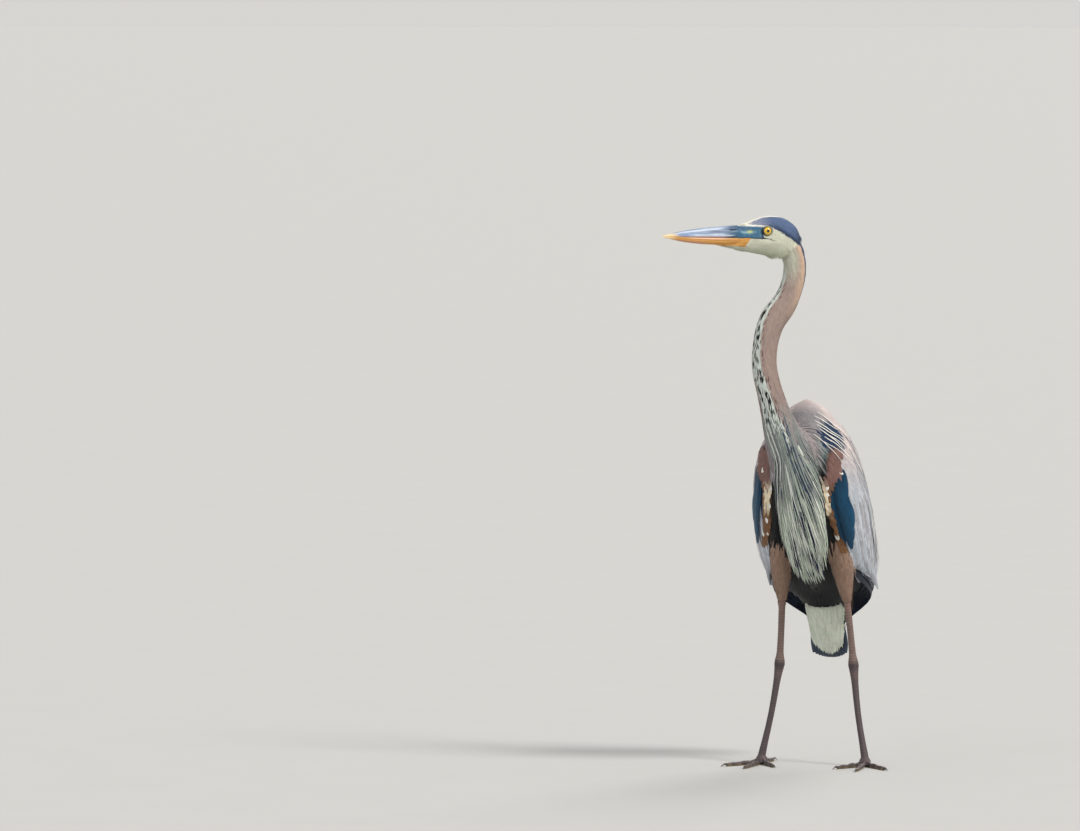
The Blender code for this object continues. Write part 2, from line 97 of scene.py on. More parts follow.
def keyed(keys, at):
    """Values on straight lines through (position, value) keys."""
    x, y = np.array(keys, float).T
    return np.interp(at, x, y)


def colour(red, green, blue):
    """A screen colour, 0 to 255, in the linear light that shaders use."""
    c = np.array([red, green, blue], float) / 255
    return np.where(c <= 0.04045, c / 12.92, ((c + 0.055) / 1.055) ** 2.4)


def ripple(points, scale, seed):
    """Smooth variation about 0, roughly -1 to 1, over distances of about scale."""
    draws = np.random.default_rng(seed)
    total = np.zeros(len(points))
    for octave in range(4):
        way = unit(draws.normal(size=3))
        wave = 2 * math.pi / (scale * (0.6 + 0.35 * octave))
        total += np.sin(points @ way * wave + draws.uniform(0, 6.3))
    return total / 2.2


# ---------------------------------------------------------------------- palette
SLATE = colour(84, 104, 140)
# The cap's paler front: partly its real paler feathers, partly a painted highlight.
CAP_FRONT_PALE_AND_HIGHLIGHT = colour(140, 146, 168)
NIGHT = colour(9, 11, 15)
NAVY = colour(26, 38, 64)
WHITE = colour(236, 234, 226)
CHEEK = colour(208, 210, 192)
# Pinkish buff: partly the hindneck's own colour, partly a painted highlight on its rim-lit back.
FAWN = colour(154, 135, 128)
BUFF_AND_HIGHLIGHT = colour(220, 190, 164)
LAVENDER = colour(138, 135, 140)
MANTLE = colour(186, 175, 175)
PALE = colour(206, 214, 208)
SILVER = colour(186, 195, 206)
PATCH = colour(18, 48, 82)
STEEL = colour(116, 134, 132)
BACK = colour(112, 122, 136)
DEEP_STEEL = colour(74, 86, 106)
BLADE_BLUE = colour(8, 62, 92)
RUFOUS = colour(116, 86, 80)
CREAM = colour(226, 212, 184)
TAN = colour(112, 78, 50)
QUILL = colour(34, 42, 58)
# A greenish white: the pale down with the grey-green cast of shade painted in.
DOWN_WITH_SHADE_TINT = colour(212, 226, 204)
THIGH = colour(146, 120, 104)
LEG = colour(114, 94, 88)
LEG_DARK = colour(48, 40, 50)
SOLE = colour(150, 132, 88)
BILL_BLUE = colour(124, 146, 182)
# Pale horn colour, also used for painted highlights.
BILL_PALE_AND_HIGHLIGHT = colour(206, 216, 228)
BILL_DARK = colour(34, 54, 92)
BILL_TIP = colour(232, 202, 150)
OCHRE = colour(202, 146, 72)
ROSE = colour(192, 138, 108)
LORE = colour(50, 96, 128)
LORE_PALE = colour(130, 172, 186)
LORE_GREEN = colour(170, 180, 112)
IRIS = colour(218, 182, 30)
LID = colour(38, 40, 40)
CLAW = colour(40, 34, 34)
FLECK_BROWN = colour(138, 104, 88)
CUT_PINK = colour(232, 196, 178)
PUPIL = colour(6, 6, 8)
# Painted shade in the recess between the eyeball and the lids.
SOCKET_SHADE = colour(14, 12, 12)


# ------------------------------------------------------------------------ lines
class Line:
    """A smooth centre line, with the way that its front faces at each share of its length."""

    FINE = 14

    def __init__(self, points, front):
        points = np.array(points, float)
        ends = np.vstack([2 * points[0] - points[1], points, 2 * points[-1] - points[-2]])
        t = np.linspace(0, 1, self.FINE, endpoint=False)[:, None]
        runs = []
        for a, b, c, d in zip(ends, ends[1:], ends[2:], ends[3:]):
            bend = (2 * a - 5 * b + 4 * c - d) * t**2 + (3 * b - a - 3 * c + d) * t**3
            runs.append((2 * b + (c - a) * t + bend) / 2)
        self.points = np.vstack([*runs, points[-1]])
        lengths = np.linalg.norm(np.diff(self.points, axis=0), axis=1)
        self.length = lengths.sum()
        self.shares = np.concatenate([[0], np.cumsum(lengths)]) / self.length
        self.headings = unit(np.gradient(self.points, self.shares, axis=0))
        fronts = np.array([front(share) for share in self.shares], float)
        self.fronts = unit(fronts - self.headings * dot(fronts, self.headings)[:, None])
        self.lefts = np.cross(self.headings, self.fronts)
        self.lefts *= np.sign(self.lefts[0] @ np.array([1, -1, 0]))

    def read(self, points):
        """(share, degrees from the front towards the left, distance) of each point."""
        points = np.asarray(points, float)
        gaps = (self.points**2).sum(1)[None] - 2 * points @ self.points.T
        k = gaps.argmin(1)
        offset = points - self.points[k]
        share = self.shares[k] + dot(offset, self.headings[k]) / self.length
        degrees = np.degrees(np.arctan2(dot(offset, self.lefts[k]), dot(offset, self.fronts[k])))
        return share, degrees, np.linalg.norm(offset, axis=1)

    def along(self, values, share):
        return np.stack([np.interp(share, self.shares, values[:, i]) for i in range(3)], -1)

    def way(self, share, degrees):
        """The direction at an angle from the front."""
        turn = np.radians(degrees)
        return self.along(self.fronts, share) * np.cos(turn)[..., None] \
            + self.along(self.lefts, share) * np.sin(turn)[..., None]

    def spot(self, share, degrees, reach):
        return self.along(self.points, share) + self.way(share, degrees) * np.asarray(reach, float)[..., None]


def mesh_points(node):
    return np.array([v.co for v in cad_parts[node].data.vertices], float)


def middle(node):
    low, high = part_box(node)
    return np.array((low + high) / 2)


def end_of(node, top):
    """The middle of a leg node's top or bottom."""
    points = mesh_points(node)
    level = points[:, 2].max() if top else points[:, 2].min()
    return points[np.abs(points[:, 2] - level) < 0.002].mean(0)


trunk_points = mesh_points("trunk")
crest = trunk_points[trunk_points[:, 2].argmax()]  # the top of the shoulders
crest[0] = middle("trunk")[0]

eyes = {word: middle("eye_" + word) for word, _ in SIDES}
EYE_RADIUS = (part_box("eye_left")[1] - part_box("eye_left")[0])[2] / 2
eye_middle = (eyes["left"] + eyes["right"]) / 2
head_left = unit((eyes["left"] - eyes["right"]) * (1, 1, 0))
head_way = np.cross(head_left, UP)  # the way the bill points
head_turn = math.atan2(-head_way[0], -head_way[1])
bill_root = (mesh_points("bill_upper") @ head_way).min() - eye_middle @ head_way
bill_tip = (mesh_points("bill_upper") @ head_way).max() - eye_middle @ head_way


def throat_way(share):
    """The way the throat faces: as the breast low on the neck, and as the bill at the head."""
    turn = head_turn * ramp(share, 0.19, 0.85)
    return (-math.sin(turn), -math.cos(turn), 0)


def breast_way(share):
    """The way the breast faces, the same all along."""
    return (0, -1, 0)


# Centre lines, as steps from the top of the shoulders.
body = Line(
    crest + [(0, 0, 0), (0, 0.010, -0.120), (0, 0.058, -0.230), (0, 0.130, -0.340), (0, 0.186, -0.465)],
    breast_way,
)
neck = Line(
    crest + [
        (-0.006, -0.010, -0.135), (-0.027, -0.065, -0.062), (-0.044, -0.083, 0.005),
        (-0.057, -0.082, 0.066), (-0.050, -0.068, 0.128), (-0.027, -0.046, 0.171),
        (-0.015, -0.034, 0.222), (-0.022, -0.039, 0.265), (-0.040, -0.051, 0.291),
    ],
    throat_way,
)
thighs = {
    word: Line(crest + np.array([(sign * 0.046, 0.022, -0.210), (sign * 0.058, 0.059, -0.357)]), breast_way)
    for word, sign in SIDES
}


def head_place(points):
    """(forward, left, up) of points from the middle between the eyes."""
    offset = points - eye_middle
    return offset @ head_way, offset @ head_left, offset[..., 2]


def head_point(forward, left, up):
    forward, left, up = np.broadcast_arrays(*(np.asarray(v, float) for v in (forward, left, up)))
    return eye_middle + forward[..., None] * head_way + left[..., None] * head_left + up[..., None] * UP


# ----------------------------------------------------------------------- meshes
def set_points(mesh, points):
    mesh.vertices.foreach_set("co", np.asarray(points, np.float32).ravel())
    mesh.update()


def triples(items, key):
    """The three numbers that each item holds under a key."""
    values = np.empty(len(items) * 3, np.float32)
    items.foreach_get(key, values)
    return values.reshape(-1, 3).astype(float)


def get_points(mesh):
    return triples(mesh.vertices, "co")


def get_normals(mesh):
    return triples(mesh.vertex_normals, "vector")


def set_values(mesh, name, kind, key, values):
    """Gives each vertex a value of its own under this name."""
    data = mesh.attributes.new(name, kind, "POINT").data
    data.foreach_set(key, values.astype(np.float32).ravel())


def set_tint(mesh, tint):
    """The colour of each vertex."""
    values = np.concatenate([np.clip(tint, 0, 1), np.ones((len(tint), 1))], 1)
    set_values(mesh, "tint", "FLOAT_COLOR", "color", values)


def set_vane(mesh, vane):
    """Each vertex's place on its own feather or scale: across, along, and a number of its own."""
    set_values(mesh, "vane", "FLOAT_VECTOR", "vector", vane)


def make_mesh(name, points, blocks):
    """A smooth mesh from points and blocks of faces with like corner counts."""
    mesh = bpy.data.meshes.new(name)
    mesh.vertices.add(len(points))
    corners = np.concatenate([np.asarray(b, np.int32).ravel() for b in blocks])
    sizes = np.concatenate([np.full(len(b), np.shape(b)[1], np.int32) for b in blocks])
    starts = np.concatenate([[0], np.cumsum(sizes)[:-1]]).astype(np.int32)
    mesh.loops.add(len(corners))
    mesh.loops.foreach_set("vertex_index", corners)
    mesh.polygons.add(len(sizes))
    mesh.polygons.foreach_set("loop_start", starts)
    set_points(mesh, points)
    mesh.update(calc_edges=True)
    mesh.shade_smooth()
    piece = bpy.data.objects.new(name, mesh)
    bpy.context.scene.collection.objects.link(piece)
    return piece, corners


@contextlib.contextmanager
def edited(mesh):
    """The mesh as a bmesh, which is written back at the end."""
    bm = bmesh.new()
    bm.from_mesh(mesh)
    bm.verts.ensure_lookup_table()
    yield bm
    bm.to_mesh(mesh)
    bm.free()


def loft(name, rings, paint):
    """A closed solid through rings of like count, coloured by paint(points)."""
    rings = np.asarray(rings, float)
    rows, count = rings.shape[:2]
    index = np.arange(rows * count).reshape(rows, count)
    beside = np.roll(index, -1, axis=1)
    sides = np.stack([index[:-1], beside[:-1], beside[1:], index[1:]], -1).reshape(-1, 4)
    points = rings.reshape(-1, 3)
    piece, _ = make_mesh(name, points, [sides, index[0][::-1][None], index[-1][None]])
    with edited(piece.data) as bm:
        bmesh.ops.recalc_face_normals(bm, faces=bm.faces)
    set_tint(piece.data, paint(points))
    length = np.concatenate([[0], np.cumsum(np.linalg.norm(np.diff(rings.mean(1), axis=0), axis=1))])
    around = np.linspace(0, 1, count) * np.ptp(rings, axis=1).max()
    set_vane(piece.data, np.stack(np.broadcast_arrays(around[None], length[:, None], 0.0), -1).reshape(-1, 3))
    return piece


def select(pieces):
    bpy.ops.object.select_all(action="DESELECT")
    for piece in pieces:
        piece.select_set(True)
    bpy.context.view_layer.objects.active = pieces[0]


def joined(name, nodes, voxel, rounds):
    """One smooth mesh over several CAD nodes."""
    copies = []
    for node in nodes:
        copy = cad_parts[node].copy()
        copy.data = copy.data.copy()
        copy.parent = None
        for key in list(copy.keys()):
            del copy[key]
        bpy.context.scene.collection.objects.link(copy)
        copies.append(copy)
    select(copies)
    bpy.ops.object.join()
    piece = copies[0]
    piece.name = piece.data.name = name
    piece.data.materials.clear()
    for kind, settings in (
        ("REMESH", {"mode": "VOXEL", "voxel_size": voxel}),
        ("SMOOTH", {"factor": 0.5, "iterations": rounds}),
    ):
        modifier = piece.modifiers.new(kind.title(), kind)
        for key, value in settings.items():
            setattr(modifier, key, value)
        bpy.ops.object.modifier_apply(modifier=modifier.name)
    keep_largest(piece.data)
    piece.data.shade_smooth()
    return piece


def keep_largest(mesh):
    """Drops the sealed bubbles that the voxels leave between neighbours."""
    ends = np.empty(len(mesh.edges) * 2, np.int32)
    mesh.edges.foreach_get("vertices", ends)
    ends = ends.reshape(-1, 2)
    group = np.arange(len(mesh.vertices))
    settled = False
    while not settled:
        before = group.copy()
        least = np.minimum(group[ends[:, 0]], group[ends[:, 1]])
        np.minimum.at(group, ends[:, 0], least)
        np.minimum.at(group, ends[:, 1], least)
        group = group[group]
        settled = (before == group).all()
    names, sizes = np.unique(group, return_counts=True)
    lost = group != names[sizes.argmax()]
    if lost.any():
        with edited(mesh) as bm:
            bmesh.ops.delete(bm, geom=[bm.verts[i] for i in np.where(lost)[0]], context="VERTS")


def unwrap(piece):
    """A UV map of the piece's own shape, in islands."""
    piece.data.uv_layers.new(name="OFBake")
    select([piece])
    bpy.ops.object.mode_set(mode="EDIT")
    bpy.ops.mesh.select_all(action="SELECT")
    bpy.ops.uv.smart_project(angle_limit=math.radians(66), island_margin=0.002)
    bpy.ops.object.mode_set(mode="OBJECT")


class Solids:
    """Some CAD nodes as one tree, to tell the nearest node or cast rays at them."""

    def __init__(self, names):
        points, triangles, owners = [], [], []
        count = 0
        for number, name in enumerate(names):
            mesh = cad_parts[name].data
            mesh.calc_loop_triangles()
            here = np.array([t.vertices[:] for t in mesh.loop_triangles])
            triangles.append(here + count)
            owners.append(np.full(len(here), number))
            points.append(mesh_points(name))
            count += len(points[-1])
        self.names = np.array(names)
        self.owners = np.concatenate(owners)
        self.tree = BVHTree.FromPolygons(np.concatenate(points).tolist(), np.concatenate(triangles).tolist())

    def nearest(self, points):
        found = [self.tree.find_nearest(p)[2] for p in points.tolist()]
        return self.names[self.owners[found]]

    def outer(self, origins, ways, far=0.3):
        """The first points met by rays that come back along ways from far out; NaN where none is."""
        out = np.full(origins.shape, np.nan)
        ways = np.broadcast_to(ways, origins.shape)
        for spot, origin, way in zip(out.reshape(-1, 3), origins.reshape(-1, 3), ways.reshape(-1, 3)):
            hit = self.tree.ray_cast(Vector(origin + way * far), Vector(-way), far)[0]
            if hit is not None:
                spot[:] = hit
        return out


class Surface:
    """A closed mesh, to find nearest points with smooth normals and to scatter roots on."""

    def __init__(self, piece):
        mesh = piece.data
        mesh.calc_loop_triangles()
        corners = np.empty(len(mesh.loop_triangles) * 3, np.int32)
        mesh.loop_triangles.foreach_get("vertices", corners)
        self.points = get_points(mesh)
        self.normals = get_normals(mesh)
        self.triangles = corners.reshape(-1, 3)
        self.tree = BVHTree.FromPolygons(self.points.tolist(), self.triangles.tolist())
        a, b, c = (self.points[self.triangles[:, i]] for i in range(3))
        self.areas = np.linalg.norm(np.cross(b - a, c - a), axis=1) / 2
        self.faces = unit(np.cross(b - a, c - a))
        self.middles = (a + b + c) / 3

    def nearest(self, points):
        """(points on the surface, smooth normals there)."""
        found = [self.tree.find_nearest(p) for p in np.asarray(points, float).reshape(-1, 3).tolist()]
        at = np.array([f[0] for f in found])
        corners = self.triangles[[f[2] for f in found]]
        a, b, c = (self.points[corners[:, i]] for i in range(3))
        whole = np.cross(b - a, c - a)
        area = np.maximum(dot(whole, whole), 1e-20)
        v = np.clip(dot(np.cross(at - a, c - a), whole) / area, 0, 1)
        w = np.clip(dot(np.cross(b - a, at - a), whole) / area, 0, 1)
        normal = self.normals[corners]
        normal = normal[:, 0] * (1 - v - w)[:, None] + normal[:, 1] * v[:, None] + normal[:, 2] * w[:, None]
        return at, unit(normal)

    def scatter(self, spacing, chosen, seed):
        """Points about spacing apart over the chosen triangles."""
        draws = np.random.default_rng(seed)
        kept = np.where(chosen)[0]
        sums = np.cumsum(self.areas[kept])
        count = int(sums[-1] / spacing**2 * 3)
        which = kept[np.searchsorted(sums, draws.uniform(0, sums[-1], count)).clip(0, len(kept) - 1)]
        r, s = np.sqrt(draws.uniform(size=count)), draws.uniform(size=count)
        a, b, c = (self.points[self.triangles[which, i]] for i in range(3))
        tries = a * (1 - r)[:, None] + b * (r * (1 - s))[:, None] + c * (r * s)[:, None]
        return tries[thinned(tries, spacing)]


def fill_gaps(values):
    """Fills the NaNs in a row of values from their neighbours."""
    known = ~np.isnan(values)
    values[~known] = np.interp(np.where(~known)[0], np.where(known)[0], values[known])


def thinned(points, spacing):
    """Which points, in order, keep clear of every earlier one kept."""
    cells, kept = {}, []
    near = [(i, j, k) for i in (-1, 0, 1) for j in (-1, 0, 1) for k in (-1, 0, 1)]
    least = spacing**2
    for number, (x, y, z) in enumerate(points.tolist()):
        cell = (int(x // spacing), int(y // spacing), int(z // spacing))
        clear = True
        for i, j, k in near:
            for q in cells.get((cell[0] + i, cell[1] + j, cell[2] + k), ()):
                if (q[0] - x) ** 2 + (q[1] - y) ** 2 + (q[2] - z) ** 2 < least:
                    clear = False
                    break
            if not clear:
                break
        if clear:
            cells.setdefault(cell, []).append((x, y, z))
            kept.append(number)
    return np.array(kept)


# -------------------------------------------------------------------- materials
class Shader:
    """A Principled material, with short ways to add to its nodes."""

    def __init__(self, name):
        self.material = bpy.data.materials.new(name)
        self.material.use_nodes = True
        self.tree = self.material.node_tree
        self.principled = self.tree.nodes["Principled BSDF"]

    def plug(self, value, socket):
        if isinstance(value, bpy.types.NodeSocket):
            self.tree.links.new(value, socket)
        else:
            socket.default_value = value

    def add(self, kind, inputs, output=0, **settings):
        """Adds a node with these inputs and settings, and gives one of its outputs."""
        node = self.tree.nodes.new("ShaderNode" + kind)
        for name, value in settings.items():
            setattr(node, name, value)
        for key, value in inputs.items():
            self.plug(value, node.inputs[key])
        return node.outputs[output]

    def math(self, operation, *values):
        return self.add("Math", dict(enumerate(values)), operation=operation)

    def attribute(self, name, output="Color"):
        return self.add("Attribute", {}, output, attribute_name=name)

    def place(self):
        return self.add("TexCoord", {}, "Object")

    def noise(self, vector, scale, detail=3.0, distortion=0.0):
        inputs = {"Vector": vector, "Scale": scale, "Detail": detail, "Distortion": distortion}
        return self.add("TexNoise", inputs, "Fac")

    def cells(self, vector, scale):
        inputs = {"Vector": vector, "Scale": scale}
        return self.add("TexVoronoi", inputs, "Distance", feature="DISTANCE_TO_EDGE")

    def span(self, value, low, high, end=1.0):
        """From low to high, as value goes from 0 to end."""
        return self.add("MapRange", {"Value": value, "From Max": end, "To Min": low, "To Max": high})

    def toned(self, colours, value, low, high):
        """The colours, times low to high as value goes from 0 to 1."""
        return self.add("VectorMath", {0: colours, "Scale": self.span(value, low, high)}, operation="SCALE")

    def bump(self, height, strength, distance):
        normal = self.add("Bump", {"Height": height, "Strength": strength, "Distance": distance})
        self.plug(normal, self.principled.inputs["Normal"])

    def set(self, **values):
        """Sets sockets by their names, with _ for a space."""
        for name, value in values.items():
            self.plug(value, self.principled.inputs[name.replace("_", " ")])
        return self.material


def plumage(name, roughness, sheen, barb):
    """Vanes of barbs, coloured by the tint that each vertex carries."""
    made = Shader(name)
    vane = made.attribute("vane", "Vector")
    across = made.add("SeparateXYZ", {0: vane})
    along = across.node.outputs[1]
    slant = made.math("MULTIPLY", made.math("ABSOLUTE", across), 1.6)
    lane = made.math("SUBTRACT", along, slant)
    wave = made.math("SINE", made.math("MULTIPLY", lane, 2 * math.pi / barb))
    ruffled = made.noise(vane, 260.0, 2.0, 0.4)
    barbs = made.math("MULTIPLY", made.math("MULTIPLY_ADD", wave, 0.5, 0.5), ruffled)
    tone = made.toned(made.attribute("tint"), barbs, 0.86, 1.16)
    tone = made.toned(tone, made.noise(made.place(), 90.0), 0.86, 1.14)
    made.bump(barbs, 0.3, 0.0003)
    return made.set(Base_Color=tone, Roughness=roughness, Sheen_Weight=sheen, Sheen_Roughness=0.4,
                    Specular_IOR_Level=0.25)


def down():
    """The skin under the plumage: the coat's own markings over a fine down, and smoother where it is bare."""
    made = Shader("skin_down")
    fine = made.noise(made.place(), 700.0, 4.0, 0.3)
    made.bump(fine, 0.35, 0.0004)
    tone = made.toned(made.attribute("tint"), fine, 0.80, 1.18)
    smooth = made.span(made.attribute("bare", "Fac"), 0.65, 0.34)
    return made.set(Base_Color=tone, Roughness=smooth, Specular_IOR_Level=0.5)


def horn(name, roughness, coat, grain):
    """A keratin sheath, coloured by tint, with fine growth lines."""
    made = Shader(name)
    stretched = made.add("Mapping", {"Vector": made.attribute("vane", "Vector"), "Scale": grain})
    lines = made.noise(stretched, 1.0, 5.0, 0.6)
    blotch = made.noise(made.place(), 120.0, 4.0, 0.8)
    made.bump(lines, 0.2, 0.0003)
    tone = made.toned(made.toned(made.attribute("tint"), lines, 0.84, 1.16), blotch, 0.86, 1.14)
    wear = made.span(blotch, roughness * 0.75, roughness * 1.35)
    return made.set(Base_Color=tone, Roughness=wear, Coat_Weight=coat, Coat_Roughness=0.2)


def scaly():
    """Bare leg skin: waxy plates, small scales and dry creases."""
    made = Shader("leg_scales")
    place = made.place()
    blotch = made.noise(place, 140.0, 4.0, 0.5)
    cells = made.span(made.cells(place, 620.0), 0.0, 1.0, end=0.12)
    tone = made.toned(made.toned(made.attribute("tint"), blotch, 0.72, 1.32), cells, 0.72, 1.06)
    made.bump(cells, 0.5, 0.0003)
    return made.set(Base_Color=tone, Roughness=made.span(blotch, 0.38, 0.62))


def eye_gloss():
    """The wet front of the eye, over the iris's fibres."""
    made = Shader("eye_wet")
    fibres = made.noise(made.place(), 1800.0, 3.0, 0.2)
    tone = made.toned(made.attribute("tint"), fibres, 0.86, 1.12)
    smooth = made.span(fibres, 0.05, 0.12)
    return made.set(Base_Color=tone, Roughness=smooth, Coat_Weight=1.0, Coat_Roughness=0.02)


def lid_skin():
    """Finely wrinkled dark skin."""
    made = Shader("lid_skin")
    fine = made.noise(made.place(), 900.0, 4.0, 0.3)
    made.bump(fine, 0.5, 0.0003)
    return made.set(Base_Color=made.toned(made.attribute("tint"), fine, 0.7, 1.3), Roughness=0.5)


def keep(piece, material, slot, *nodes):
    """Gives a piece its material and the body it rides on, and hides the nodes that it stands for; slot is
    not used.
    """
    piece.data.materials.append(material)
    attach(piece, "root")
    if nodes:
        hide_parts(*nodes)
    return piece


# --------------------------------------------------------------------- markings
# Where the folded wing's front edge runs, as degrees from the breast's middle.
WING_LEAD = (
    (0.085, 84), (0.13, 44), (0.18, 33), (0.25, 27), (0.38, 30), (0.52, 44), (0.66, 70), (0.80, 98),
    (0.93, 156))
# Heights of lines on the head, from the eyes, each at places ahead of them.
CAP_EDGE = (
    (-0.075, -0.030), (-0.060, -0.023), (-0.049, -0.017), (-0.038, -0.0105), (-0.022, -0.0025),
    (-0.011, 0.0040), (-0.004, 0.0090), (0.027, 0.0098), (0.05, 0.0125))
GAPE = ((-0.014, -0.0175), (0.0, -0.0140), (0.047, -0.0118))
LORE_TOP = ((0.0, 0.0062), (0.012, 0.0076), (0.047, 0.0090))
# How far ahead of the eyes the jaw's horn starts, by height.
JAW_BACK = ((-0.0265, 0.0375), (-0.0120, 0.0285))


def painted(base, *layers):
    """The base under layers of (colour, share), the last on top."""
    for tone, share in layers:
        base = mix(base, tone, share)
    return base


def within_zone(zone, word):
    """Whether the names of the zones start with a word."""
    return np.char.startswith(zone, word)


def on_face(zone):
    return (zone == "head") | (zone == "chin") | within_zone(zone, "eye") | within_zone(zone, "bill")


def bare_face(forward, up):
    """1 on the bare skin between the eye and the bill."""
    low = keyed(GAPE, forward)
    high = keyed(LORE_TOP, forward)
    return hump(up, low - 0.0002, low + 0.0006, high - 0.0006, high + 0.0002) * ramp(forward, 0.0058, 0.0066)


def on_jaw(forward, up):
    """Whether points are on the lower bill's horn. Its rear edge slants, and its lower edge is straight."""
    low = -0.0265 + 0.04 * (forward - 0.0375)
    return (forward > keyed(JAW_BACK, up)) & (up < keyed(GAPE, forward)) & (up > low)


def cap_colour(points, forward, above):
    """The crown, white in front and darkest at its rear corner. above is the height over the cap's edge."""
    front = ramp(forward, 0.024, 0.034)
    return painted(
        # Paler towards the forehead: partly the paler feathers there, partly a painted highlight on the cap's
        # front.
        mix(SLATE, CAP_FRONT_PALE_AND_HIGHLIGHT, ramp(forward, -0.012, 0.024)),
        (NAVY, ramp(-forward, 0.000, 0.020) * (1 - ramp(above, 0.003, 0.012)) * 0.75),
        (NAVY, ramp(-forward, 0.045, 0.062) * 0.6),
        (WHITE, front),
        (FLECK_BROWN, (ripple(points, 0.004, 9) > 0.15) * front * 0.8),
    )


def lore_colour(points, forward, up):
    """The bare skin before the eye, with its pale streak and yellow-green spot."""
    spot = np.clip(1.1 * bell(forward, 0.030, 0.0050) * bell(up, -0.0012, 0.0026), 0, 1)
    cloud = np.clip(ripple(points, 0.006, 4), 0, 1)
    return painted(
        LORE,
        (LORE_PALE, bell(up, -0.0024, 0.0015) * hump(forward, 0.022, 0.032, 0.040, 0.047) * 0.8),
        (LORE_GREEN, spot),
        (BILL_DARK, bell(up, 0.0052, 0.0014) * ramp(forward, 0.02, 0.04) * 0.7),
        (NAVY, (1 - ramp(forward, 0.0095, 0.0125)) * 0.8),
        (LORE_PALE * 0.8, cloud * 0.30 * (1 - ramp(forward, 0.040, 0.046))),
    )


def head_colour(points):
    """The white face under the dark cap, with its bare lores, its gape and its lids."""
    forward, left, up = head_place(points)
    aside = np.abs(left)
    above = up - keyed(CAP_EDGE, forward)
    brow = hump(above, -0.0026, -0.0018, 0.0000, 0.0008) * ramp(forward, -0.013, -0.006)
    stripe = (1 - ramp(aside, 0.0042, 0.0062)) * ramp(up, 0.009, 0.013) * ramp(forward, -0.030, -0.018)
    gape = bell(up, keyed(GAPE, forward) + 0.0004, 0.0009) * ramp(forward, -0.014, -0.004)
    lids = (1 - ramp(np.hypot(forward, up), 0.0080, 0.0088)) * ramp(aside, 0.010, 0.014)
    return painted(
        CHEEK,
        # Painted shade: the white face turns greyer and greener underneath, as it looks in shade.
        (CHEEK * (0.80, 0.84, 0.74), ramp(-up, 0.022, 0.046)),
        # Lighter buff low at the back of the head: partly its own colour, partly a painted highlight.
        (BUFF_AND_HIGHLIGHT, ramp(-forward, 0.044, 0.058) * ramp(-up, 0.016, 0.030) * 0.9),
        (cap_colour(points, forward, above), ramp(above, -0.0004, 0.0010)),
        (WHITE, brow),
        (WHITE, stripe),
        (lore_colour(points, forward, up), bare_face(forward, up)),
        (NAVY, gape * ramp(aside, 0.006, 0.012)),
        (OCHRE, on_jaw(forward, up)),
        (mix(LID, LORE, 0.35), lids),
    )


def neck_place(points):
    """(share, degrees from the middle of the throat's stripe, which runs a little right of the breast's)."""
    share, degrees, _ = neck.read(points)
    return share, degrees + 8 * hump(share, 0.16, 0.30, 0.58, 0.76)


def neck_colour(points):
    """Fawn, with a pale stripe down the throat and a dark nape at the top."""
    share, degrees = neck_place(points)
    front = np.abs(degrees)
    edge = keyed(((0.2, 34), (0.4, 26), (0.6, 32), (0.8, 30)), share) + 4 * ripple(points, 0.02, 5)
    stripe = (1 - ramp(front - edge, -5, 5)) * (1 - ramp(share, 0.80, 0.86))
    wide = keyed(((0.74, 26), (0.80, 38), (0.95, 50)), share)
    nape = 1 - ramp(np.abs((degrees + 12) % 360 - 180), wide - 5, wide + 3)
    return painted(
        FAWN,
        (LAVENDER, (1 - ramp(share, 0.18, 0.40)) * 0.75),
        # Lighter buff down the back of the upper neck: partly its own colour, partly a painted highlight
        # along the rim-lit edge.
        (BUFF_AND_HIGHLIGHT, ramp(share, 0.62, 0.85) * ramp(front, 70, 120) * 0.8),
        (CHEEK * 0.92, (1 - ramp(front, 62, 104)) * ramp(share, 0.74, 0.90)),
        (PALE, stripe * ramp(share, 0.12, 0.24)),
        (mix(SLATE, NAVY, 0.5), nape * ramp(share, 0.74, 0.81)),
    )


def body_place(points):
    """(share, degrees from the breast's middle, degrees behind the wing's front edge)."""
    share, degrees, _ = body.read(points)
    front = np.abs(degrees)
    return share, front, front - keyed(WING_LEAD, share)


def wing_place(points):
    """(share, degrees behind the edge of the wing's markings), which lie further forward on the left wing."""
    share, degrees, _ = body.read(points)
    return share, np.abs(degrees) - keyed(WING_LEAD, share) + np.where(degrees > 0, 3.0, -13.0)


def shoulder_patch(points):
    """1 on the dark patch at the bend of the wing."""
    share, degrees, _ = body.read(points)
    reach = np.hypot((share - 0.118) / 0.052, (np.abs(degrees) - 53) / 20) + 0.12 * ripple(points, 0.02, 16)
    return ramp(reach, 1.08, 0.90)


def wrist_zone(share, past):
    """1 on the chestnut wrist. past is as wing_place gives it, here and below."""
    return hump(share, 0.150, 0.170, 0.245, 0.265) * hump(past, 1, 4, 22, 26)


def edge_zone(share, past):
    """1 on the cream and tan edge below the wrist."""
    wide = keyed(((0.25, 11), (0.40, 11), (0.46, 13), (0.54, 21)), share)
    return hump(share, 0.235, 0.255, 0.455, 0.48) * hump(past - wide, -8, -6, -1, 1)


def blade_zone(share, past):
    """1 under the deep blue feathers."""
    start = keyed(((0.23, 14), (0.30, 11), (0.40, 12), (0.50, 22)), share)
    stop = keyed(((0.23, 22), (0.30, 28), (0.40, 30), (0.50, 28)), share)
    along = hump(share, 0.225, 0.245, 0.44, 0.48)
    return along * ramp(past, start - 1, start + 1) * (1 - ramp(past, stop - 1, stop + 1))


